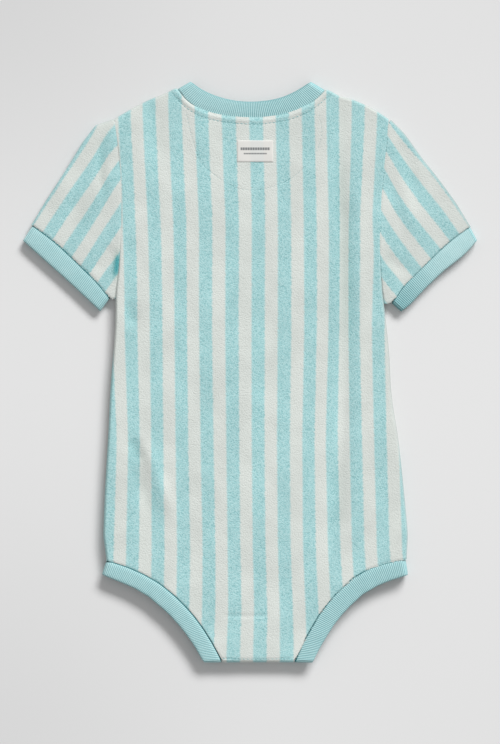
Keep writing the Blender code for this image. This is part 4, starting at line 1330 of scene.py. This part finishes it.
def bandPiece(name, node, heading, seamSide, material, seed):
    band = bands[name]
    seam, rim, closed = bandStations(name, node, heading, seamSide)
    middle = (seam + rim) / 2
    along, tangent = bandRun(middle, closed)
    across = rim - seam
    width = np.linalg.norm(across, axis=1)
    across /= width[:, None]
    normal = np.cross(tangent, across)
    normal /= np.linalg.norm(normal, axis=1)[:, None]
    if normal[np.argmax(middle[:, 2])][2] < 0:
        normal = -normal
    # the wales wander a little, and stand more open where the band is stretched; the same mark paints shade
    # along the band
    opened = np.interp(along / along[-1], *np.array(band["open"]).T)
    profile = bandProfile(band)
    wave = np.abs(np.cos(math.pi * along / rib["wale"])) ** 1.2
    height = rib["depth"] * (0.55 + 0.75 * opened.clip(0))
    drift = 0.12 * uneven(along, np.zeros(len(along)) + seed, 9, seed)
    turned = 1 - rib["squarer"] * (1 - np.abs(normal[:, 2]))
    layers, knit, near, rimShades = [], [], [], []
    for far, share, depth, ribShare, dark, rimShading in profile:
        reach = far + share * width
        inner = depth <= -rib["wall"] + 0.3
        rise = height * ribShare * (wave - 0.6)
        rise = np.maximum(depth - rise, -rib["wall"]) if inner else rise + depth * turned
        rise = rise + drift * 0.5 * (depth > -0.3)
        layers.append(seam + across * (reach + drift * share)[:, None] + normal * rise[:, None])
        knit.append(np.column_stack([along, np.full(len(along), reach), np.zeros(len(along))]))
        near.append(np.full(len(along), dark))
        # painted shade at the free edge, and on the sides that turn over towards the light
        rimShades.append(np.maximum(rimShading, band.get("sideRimShade", 0.0) * (1 - np.abs(normal[:, 2]))))
    stations, cuts = len(along), len(profile)
    points = np.stack(layers, axis=1).reshape(-1, 3)
    points[:, 2] = np.maximum(points[:, 2], rib["floorGap"])
    ring = np.arange(stations)
    after = (ring + 1) % stations if closed else ring + 1
    last = stations if closed else stations - 1
    faces = []
    for k in range(cuts):
        nextCut = (k + 1) % cuts
        here, there = ring[:last] * cuts, after[:last] * cuts
        faces.append(np.column_stack([here + k, there + k, there + nextCut, here + nextCut]))
    faces = np.vstack(faces).tolist()
    if not closed:
        faces.append([k for k in range(cuts)])
        faces.append([(stations - 1) * cuts + k for k in reversed(range(cuts))])
    marks = {
        "knit": np.stack(knit, axis=1).reshape(-1, 3),
        "seamNear": np.stack(near, axis=1).ravel(),
        "rim": np.stack(rimShades, axis=1).ravel(),
        "open": np.repeat(opened, cuts),
    }
    piece = meshPiece(name, points, faces, marks)
    turnOutwards(piece)
    dress(piece, material, node)
    return piece, along[-1], width.mean()


towellingCloth = makeTowelling()
ribCloth = makeRibKnit(rib["wale"])
backPanel, stitchLines, (backNeck, *backLegs) = makeBack(towellingCloth)
frontPanel, frontNeckStitch = makeFront(towellingCloth)
print("panels made")
sleeveMade = {side: makeSleeve(side, towellingCloth) for side in ("left", "right")}
print("sleeves made")


def byHeight(sides):
    # the sewn edge of the neckband lies lower down the garment than its free edge
    return sorted(sides, key=lambda line: line[:, 1].mean())


def byCentre(sides):
    # the sewn edge of a cuff lies nearer the middle of the garment
    return sorted(sides, key=lambda line: np.abs(line[:, 0]).mean())


def legSides(sides):
    # the sewn edge of a leg band lies further up
    return sorted(sides, key=lambda line: -line[:, 1].mean())


bandNodes = [
    ("neckBand", "neck_rib", (1, 0), byHeight),
    ("cuffLeft", "cuff_left", (1, -1), byCentre),
    ("cuffRight", "cuff_right", (-1, -1), byCentre),
    ("legBandLeft", "leg_rib_left", (1, 0), legSides),
    ("legBandRight", "leg_rib_right", (1, 0), legSides),
]
for seed, (name, node, heading, sides) in enumerate(bandNodes, 21):
    bandPiece(name, node, heading, sides, ribCloth, seed)


label = {
    "size": (27.6, 16.5),
    "middle": (3.6, 170.0),
    "cuts": (22, 14),
    "wall": 0.22,
    "sewnDrop": 0.04,       # how far the edge sinks into the pile
    "edge": 0.12,
    # height, half length and half width of each woven bar, and the pitch of the breaks in it
    "bars": [(171.7, 11.3, 1.05, 1.9), (168.0, 8.9, 0.55, 1.2)],
    "barBlur": (0.3, 0.25),
    "barBreaks": (-0.9, 0.3, 0.5, 0.82),
    "barColour": (0.085, 0.095, 0.105, 1),
    "tape": (0.775, 0.765, 0.730, 1),
    "overAqua": (0.68, 0.735, 0.735, 1),    # where an aqua stripe beneath shows through
    "shows": 0.35,
    "threadsPerMetre": 420.0,
}


def levelOf(piece, x, y, up):
    # level of a piece's outer face at a place in plan
    hit, point, _, _ = piece.ray_cast(Vector((x * mm, y * mm, 0.05 * up)), Vector((0, 0, -up)))
    return point.z / mm if hit else None


def makeTape():
    material, tree, shader = newMaterial(
        "wovenTape", Roughness=0.7, Sheen_Weight=0.08, Specular_IOR_Level=0.3
    )
    place = objectPlace(tree)
    axes = addNode(tree, "ShaderNodeSeparateXYZ", {0: place}).outputs
    fibre = placed(tree, fibreGroup, Place=place, FibreSize=0.5)
    # the stripe beneath shows through faintly
    offMiddle = offMiddleOf(tree, plus(tree, attribute(tree, "stripe"), 0.5))
    through = times(tree, ramp(tree, offMiddle, 0.3, 0.2), label["shows"])
    tape = blended(tree, through, label["tape"], label["overAqua"])
    dimmed = blended(tree, 0.06, tape, (0.3, 0.3, 0.3, 1))
    tape = blended(tree, ramp(tree, fibre["Tone"], 0.35, 0.65), dimmed, tape)
    waves = []
    for direction in ("Y", "X"):
        inputs = {"Vector": place, "Scale": label["threadsPerMetre"]}
        waves.append(addNode(tree, "ShaderNodeTexWave", inputs, bands_direction=direction).outputs["Fac"])
    weave = times(tree, *waves)
    for height, halfLength, halfWidth, breaks in label["bars"]:
        alongBar = maths(tree, "ABSOLUTE", minus(tree, axes["X"], label["middle"][0] * mm))
        acrossBar = maths(tree, "ABSOLUTE", minus(tree, axes["Y"], height * mm))
        endBlur, sideBlur = label["barBlur"]
        inLength = ramp(tree, alongBar, (halfLength + endBlur) * mm, (halfLength - endBlur) * mm)
        inWidth = ramp(tree, acrossBar, (halfWidth + sideBlur) * mm, (halfWidth - sideBlur) * mm)
        beat = maths(tree, "SINE", times(tree, axes["X"], 2 * math.pi / (breaks * mm)))
        broken = times(tree, times(tree, inLength, inWidth), ramp(tree, beat, *label["barBreaks"]))
        tape = blended(tree, broken, tape, label["barColour"])
    joinSurface(tree, shader, tape, weave, 0.25, 0.1)
    return material


def makeLabel(material):
    bpy.ops.object.select_all(action="DESELECT")
    middle = (label["middle"][0] * mm, label["middle"][1] * mm, 0.0)
    bpy.ops.mesh.primitive_grid_add(
        x_subdivisions=label["cuts"][0], y_subdivisions=label["cuts"][1], size=1.0, location=middle
    )
    piece = bpy.context.object
    piece.name = "neckLabel"
    bpy.ops.object.mode_set(mode="EDIT")
    size = (label["size"][0] * mm, label["size"][1] * mm, 1.0)
    bpy.ops.transform.resize(value=size, center_override=middle)
    bpy.ops.object.mode_set(mode="OBJECT")
    bpy.ops.object.transform_apply(location=True)
    halfWidth, halfHeight = label["size"][0] / 2, label["size"][1] / 2
    for vertex in piece.data.vertices:
        x, y = vertex.co.x / mm, vertex.co.y / mm
        inset = min(halfWidth - abs(x - label["middle"][0]), halfHeight - abs(y - label["middle"][1]))
        level = panel["top"] + float(creased(np.array([[x, y]]), backCreases)[0])
        sunk = label["sewnDrop"] * (1 - float(smooth(inset, 0, 1.4)))
        rise = 0.05 * float(uneven(x + 300, y + 300, 6, 9))
        vertex.co.z = (level + label["wall"] - sunk + rise) * mm
    thicken(piece, label["wall"])
    places = np.array([vertex.co[:2] for vertex in piece.data.vertices]) / mm
    stripe = stripeNumber(places[:, 1], places[:, 0], backStripes).astype(np.float32)
    piece.data.attributes.new("stripe", "FLOAT", "POINT").data.foreach_set("value", stripe)
    roundEdges(piece, label["edge"], 2)
    dress(piece, material, "label")
    return piece


thread = {
    "length": 2.3,
    "radius": 0.26,
    "edgeGap": 0.9,         # from the tape's edge to its line of stitches
}


def makeStitch():
    # one stitch: a short run of thread whose ends go down into the cloth
    bpy.ops.object.select_all(action="DESELECT")
    bpy.ops.mesh.primitive_uv_sphere_add(segments=6, ring_count=6, radius=1.0)
    stitch = bpy.context.object
    bpy.ops.object.mode_set(mode="EDIT")
    bpy.ops.transform.rotate(value=math.radians(90), orient_axis="Y", center_override=(0, 0, 0))
    size = (thread["length"] / 2, thread["radius"], thread["radius"])
    bpy.ops.transform.resize(value=size, center_override=(0, 0, 0))
    bpy.ops.object.mode_set(mode="OBJECT")
    for vertex in stitch.data.vertices:
        vertex.co.z -= 0.35 * (vertex.co.x / thread["length"] * 2) ** 2 * thread["radius"]
    return takeShape(stitch)


def takeShape(piece):
    # points and faces of a small shape that is modelled once, and copied many times
    points = np.array([vertex.co[:] for vertex in piece.data.vertices])
    faces = [list(face.vertices) for face in piece.data.polygons]
    bpy.data.objects.remove(piece)
    return points, faces


def copies(shape, frames):
    # copies of a shape in one mesh; a frame is its place, its x, y and z directions and its three sizes
    points, faces = shape
    places, joined = [], []
    for k, (place, axes, sizes) in enumerate(frames):
        places.append(place + (points * sizes) @ axes)
        joined.extend([[k * len(points) + v for v in face] for face in faces])
    return np.vstack(places), joined


def stitchFrames(piece, line, up, pitch, sink, length=1.0):
    # frames of stitches along a line in plan, lying on a piece
    run = runOf(line)
    frames = []
    for stop in np.arange(pitch / 2, run[-1] - pitch / 3, pitch):
        at = evenly(line, [max(0, (stop - 0.6) / run[-1]), stop / run[-1], min(1, (stop + 0.6) / run[-1])])
        level = levelOf(piece, *at[1], up)
        if level is None:
            continue
        ahead = np.array([*(at[2] - at[0]), 0.0])
        ahead /= np.linalg.norm(ahead)
        out = np.array([0.0, 0.0, float(up)])
        side = np.cross(out, ahead)
        place = np.array([*at[1], level - up * sink])
        frames.append((place, np.array([ahead, side, out]), np.array([length, 1.0, 1.0])))
    return frames


def makeThread(name, frames, material):
    points, faces = copies(stitchShape, frames)
    piece = meshPiece(name, points, faces, {})
    dress(piece, material, None)
    return piece


pile = {
    "radius": 0.17,
    "length": 1.5,
    "bend": 3.2,            # how far a tuft leans over, against its height
    # share of the length that hangs over at each seam
    "legReach": {"Left": 0.6, "Right": 1.15},
    "neckReach": 0.55,
    "cuffReach": 0.7,
    "spacing": 0.42,
}


def makeStrand():
    # one tuft of pile: a tapering strand that bends over
    bpy.ops.object.select_all(action="DESELECT")
    bpy.ops.mesh.primitive_cone_add(
        vertices=5, radius1=1.0, radius2=0.45, depth=1.0, location=(0, 0, 0.5), end_fill_type="TRIFAN"
    )
    strand = bpy.context.object
    bpy.ops.object.transform_apply(location=True)
    bpy.ops.object.mode_set(mode="EDIT")
    for level in (0.35, 0.7):
        bpy.ops.mesh.select_all(action="SELECT")
        bpy.ops.mesh.bisect(plane_co=(0, 0, level), plane_no=(0, 0, 1))
    bpy.ops.object.mode_set(mode="OBJECT")
    for vertex in strand.data.vertices:
        vertex.co.x += pile["bend"] * vertex.co.z**2
        vertex.co.z -= 0.35 * vertex.co.z**2
    return takeShape(strand)


def pileFrames(line, outward, up, spacing, length, seed, lean=0.0, sink=0.5):
    # frames of tufts along an edge in space, leaning out over it
    rng = np.random.default_rng(seed)
    run = runOf(line)
    count = int(run[-1] / spacing)
    stops = (np.arange(count) + rng.uniform(0.1, 0.9, count)) * spacing / run[-1]
    places = evenly(line, np.clip(stops, 0, 1))
    before, after = evenly(line, np.clip(stops - 0.01, 0, 1)), evenly(line, np.clip(stops + 0.01, 0, 1))
    frames = []
    for place, ahead in zip(places, after - before):
        ahead = ahead / np.linalg.norm(ahead)
        out = np.cross(ahead, [0, 0, 1.0]) * outward
        out = out / np.linalg.norm(out) + ahead * (lean + rng.normal(0, 0.55))
        out /= np.linalg.norm(out)
        top = np.array([0, 0, float(up)])
        side = np.cross(top, out)
        size = length * rng.uniform(0.4, 1.3)
        radius = pile["radius"] * rng.uniform(0.75, 1.25)
        place = place - out * rng.uniform(0.35, 0.9) - top * sink * rng.uniform(0.6, 1.3)
        sizes = np.array([size / pile["bend"], radius, size * 0.75])
        frames.append((place, np.array([out, side, top]), sizes))
    return frames


def makeFringe(name, frames, stripeAt, material):
    points, faces = copies(strandShape, frames)
    perStrand = len(strandShape[0])
    roots = np.repeat(np.array([frame[0] for frame in frames]), perStrand, axis=0)
    marks = {
        "stripe": stripeAt(roots),
        "seam": np.full(len(points), farAway),
        "seamNear": np.zeros(len(points)),
        "napAndShade": np.zeros(len(points)),
    }
    piece = meshPiece(name, points, faces, marks)
    dress(piece, material, None)
    return piece


stitchShape = makeStitch()
strandShape = makeStrand()
tape = makeTape()
neckLabel = makeLabel(tape)


def makeThreadMaterial(name, colour):
    material, tree, shader = newMaterial(name, Roughness=0.6, Sheen_Weight=0.1, Specular_IOR_Level=0.3)
    fibre = placed(tree, fibreGroup, Place=objectPlace(tree), FibreSize=0.25)
    paler = tuple(min(1.0, c * 1.25) for c in colour[:3]) + (1,)
    twist = blended(tree, ramp(tree, fibre["Tone"], 0.35, 0.7), colour, paler)
    joinSurface(tree, shader, twist, fibre["Height"], 0.3, 0.1)
    return material


aquaThread = makeThreadMaterial("aquaThread", (0.20, 0.43, 0.45, 1))
creamThread = makeThreadMaterial("creamThread", (0.70, 0.69, 0.66, 1))
pitch = stitching["pitch"]
neckFrames = stitchFrames(backPanel, stitchLines[0], 1, pitch, 0.06)
crotchFrames = stitchFrames(backPanel, stitchLines[3], 1, pitch, 0.1)
moonFrames = stitchFrames(backPanel, stitchLines[1], 1, pitch, 0.12, 0.35)
backThread = makeThread("backStitching", neckFrames + crotchFrames + moonFrames, aquaThread)
inset, (halfWidth, halfHeight) = thread["edgeGap"], (label["size"][0] / 2, label["size"][1] / 2)
x0, y0 = label["middle"][0] - halfWidth + inset, label["middle"][1] - halfHeight + inset
x1, y1 = label["middle"][0] + halfWidth - inset, label["middle"][1] + halfHeight - inset
labelFrames = []
for start, end in (((x0, y0), (x1, y0)), ((x0, y1), (x1, y1)), ((x0, y0), (x0, y1)), ((x1, y0), (x1, y1))):
    labelFrames += stitchFrames(neckLabel, np.array([start, end]), 1, 2.0, 0.2, 0.6)
labelThread = makeThread("labelStitching", labelFrames, creamThread)
frontFrames = stitchFrames(frontPanel, frontNeckStitch, -1, pitch, 0.1)
frontThread = makeThread("frontStitching", frontFrames, aquaThread)
print("label and stitches made")


def liftedLine(line, level):
    return np.column_stack([line, np.full(len(line), level)])


def bodyStripe(table):
    return lambda roots: stripeNumber(roots[:, 1], roots[:, 0], table)


def sleeveStripe(side):
    s, inwards = sleeves[side], sleeveInwards(side)
    return lambda roots: stripeNumber(
        nearLine(roots[:, :2], s["seamLine"])[0], (roots[:, :2] - s["foldFrom"]) @ inwards, s["stripes"]
    )


# tufts that hang over the seams at the leg bands, the cuffs and the neckband
spacing = pile["spacing"]
for side, line, lean in (("Left", backLegs[0], -0.3), ("Right", backLegs[1], 0.5)):
    outward = 1 if line[-1][0] > line[0][0] else -1
    edge = liftedLine(line, panel["top"] - 0.35)
    reach = pile["length"] * pile["legReach"][side]
    frames = pileFrames(edge, outward, 1, spacing, reach, 31 + len(side), lean)
    makeFringe("legFringe" + side, frames, bodyStripe(backStripes), towellingCloth)
edge = liftedLine(backNeck, panel["top"] - 0.3)
frames = pileFrames(edge, -1, 1, spacing * 1.3, pile["length"] * pile["neckReach"], 41)
makeFringe("neckFringe", frames, bodyStripe(backStripes), towellingCloth)
for side, made in sleeveMade.items():
    outward = 1 if side == "left" else -1
    edge = liftedLine(made["hem"], sleeves["tops"][1] - 0.3)
    reach = pile["length"] * pile["cuffReach"]
    frames = pileFrames(edge, outward, 1, spacing, reach, 51 + outward, 0.2 * outward)
    name = "cuffFringe" + side.title()
    makeFringe(name, frames, sleeveStripe(side), towellingCloth)
print("fringes made")


def pickFaces(piece, test):
    # selects the faces whose middle and normal pass a test, and opens the piece for editing
    for part in (*piece.data.vertices, *piece.data.edges):
        part.select = False
    for face in piece.data.polygons:
        face.select = test(face.center / mm, face.normal)
    bpy.ops.object.mode_set(mode="EDIT")
    bpy.ops.mesh.select_mode(type="FACE")


def makeSnapShape():
    # a pressed ring with a shallow dish beneath, and the stud that passes through both layers above
    radius, depth = snap["cap"]
    bpy.ops.object.select_all(action="DESELECT")
    bpy.ops.mesh.primitive_cylinder_add(
        vertices=snap["segments"], radius=radius * mm, depth=depth * mm, location=(0, 0, depth / 2 * mm)
    )
    piece = bpy.context.object
    bpy.ops.object.transform_apply(location=True)
    pickFaces(piece, lambda at, normal: normal.z < -0.9)
    bpy.ops.mesh.inset(thickness=snap["rim"] * mm)
    bpy.ops.mesh.inset(thickness=snap["dish"][0] * mm, depth=-snap["dish"][1] * mm)
    bpy.ops.mesh.inset(thickness=snap["boss"][0] * mm)
    bpy.ops.mesh.inset(thickness=snap["edge"] * mm, depth=snap["boss"][1] * mm)
    bpy.ops.mesh.inset(thickness=snap["edge"] * mm)
    bpy.ops.object.mode_set(mode="OBJECT")
    pickFaces(piece, lambda at, normal: normal.z > 0.9 and at.z > depth - 0.1)
    bpy.ops.mesh.inset(thickness=snap["stud"][0] * mm)
    bpy.ops.mesh.inset(thickness=0.0, depth=(snap["stud"][1] - snap["edge"]) * mm)
    bpy.ops.mesh.inset(thickness=snap["edge"] * mm, depth=snap["edge"] * mm)
    bpy.ops.mesh.inset(thickness=snap["edge"] * 2 * mm)
    bpy.ops.object.mode_set(mode="OBJECT")
    roundEdges(piece, snap["edge"], 3)
    return piece


def makeSnapMetal():
    material, tree, shader = newMaterial("satinMetal", Metallic=1.0, Roughness=0.34)
    worn = placed(tree, fibreGroup, Place=objectPlace(tree), FibreSize=0.7)
    tree.links.new(ramp(tree, worn["Tone"], 0.3, 0.7, 0.28, 0.42), shader.inputs["Roughness"])
    metal = blended(tree, ramp(tree, worn["Tone"], 0.3, 0.7), (0.66, 0.68, 0.69, 1), (0.76, 0.77, 0.77, 1))
    tree.links.new(metal, shader.inputs["Base Color"])
    return material


snapShape = makeSnapShape()
snapMetal = makeSnapMetal()
for k, (x, y) in enumerate(snap["places"], 1):
    piece = bpy.data.objects.new(f"ringSnap{k}", snapShape.data.copy())
    piece.data.transform(Matrix.Translation((x * mm, y * mm, 0)))
    bpy.context.scene.collection.objects.link(piece)
    dress(piece, snapMetal, f"snap_{k}")
bpy.data.objects.remove(snapShape)
print("snaps made")


studio = {
    "floorSize": 3.0,
    "floorPale": (0.795, 0.795, 0.795, 1),
    "floorDark": (0.52, 0.52, 0.52, 1),
    "viewHeight": 0.573,    # what the camera takes in from top to bottom, in metres
    "focus": 0.005,         # level at which it does so
    "sensor": 36.0,
    "distance": 2.0,
    "sunElevation": 27.0,
    "sunAzimuths": (50.0, 62.0, 74.0),      # from +X towards +Y
    "sunStrength": 4.02,
    "sunAngle": 14.0,
    "skyStrength": 0.41,
}

bpy.ops.mesh.primitive_plane_add(size=studio["floorSize"], location=(0, 0, -0.0002))
floor = bpy.context.object
floor.name = "floor"
floorWithFalloff, floorTree, floorShader = newMaterial("floorWithFalloff", Roughness=0.9, Specular_IOR_Level=0.1)
axes = addNode(floorTree, "ShaderNodeSeparateXYZ", {0: objectPlace(floorTree)}).outputs
# painted light falloff: the floor is darker to the left, and towards the top and the bottom there
leftward = ramp(floorTree, axes["X"], 0.05, -0.22)
upward = ramp(floorTree, axes["Y"], 0.05, 0.32)
downward = ramp(floorTree, axes["Y"], 0.0, -0.32)
outward = plus(floorTree, upward, times(floorTree, downward, 0.9))
corners = times(floorTree, plus(floorTree, times(floorTree, leftward, 0.25), 0.12), outward)
darker = plus(floorTree, corners, times(floorTree, leftward, 0.08))
floorFalloff = blended(floorTree, darker, studio["floorPale"], studio["floorDark"])
floorTree.links.new(floorFalloff, floorShader.inputs["Base Color"])
floor.data.materials.append(floorWithFalloff)

# a wide window of light from the upper right, as three suns side by side
for k, turn in enumerate(studio["sunAzimuths"]):
    sunData = bpy.data.lights.new(f"key{k}", "SUN")
    sunData.energy = studio["sunStrength"] / len(studio["sunAzimuths"])
    sunData.angle = math.radians(studio["sunAngle"])
    sun = bpy.data.objects.new(f"key{k}", sunData)
    elevation, azimuth = math.radians(studio["sunElevation"]), math.radians(turn)
    level = math.cos(elevation)
    toSun = Vector((level * math.cos(azimuth), level * math.sin(azimuth), math.sin(elevation)))
    sun.rotation_mode = "QUATERNION"
    sun.rotation_quaternion = toSun.to_track_quat("Z", "Y")
    bpy.context.scene.collection.objects.link(sun)

world = bpy.data.worlds.new("studio")
bpy.context.scene.world = world
world.use_nodes = True
sky = world.node_tree.nodes["Background"].inputs
sky["Color"].default_value = (1, 1, 1, 1)
sky["Strength"].default_value = studio["skyStrength"]

cameraData = bpy.data.cameras.new("camera")
cameraData.sensor_width = studio["sensor"]
cameraData.lens = studio["sensor"] * (studio["distance"] - studio["focus"]) / studio["viewHeight"]
camera = bpy.data.objects.new("camera", cameraData)
camera.location = (-0.0004, 0.0, studio["distance"])
bpy.context.scene.collection.objects.link(camera)
bpy.context.scene.camera = camera
bpy.context.scene.view_settings.view_transform = "Standard"
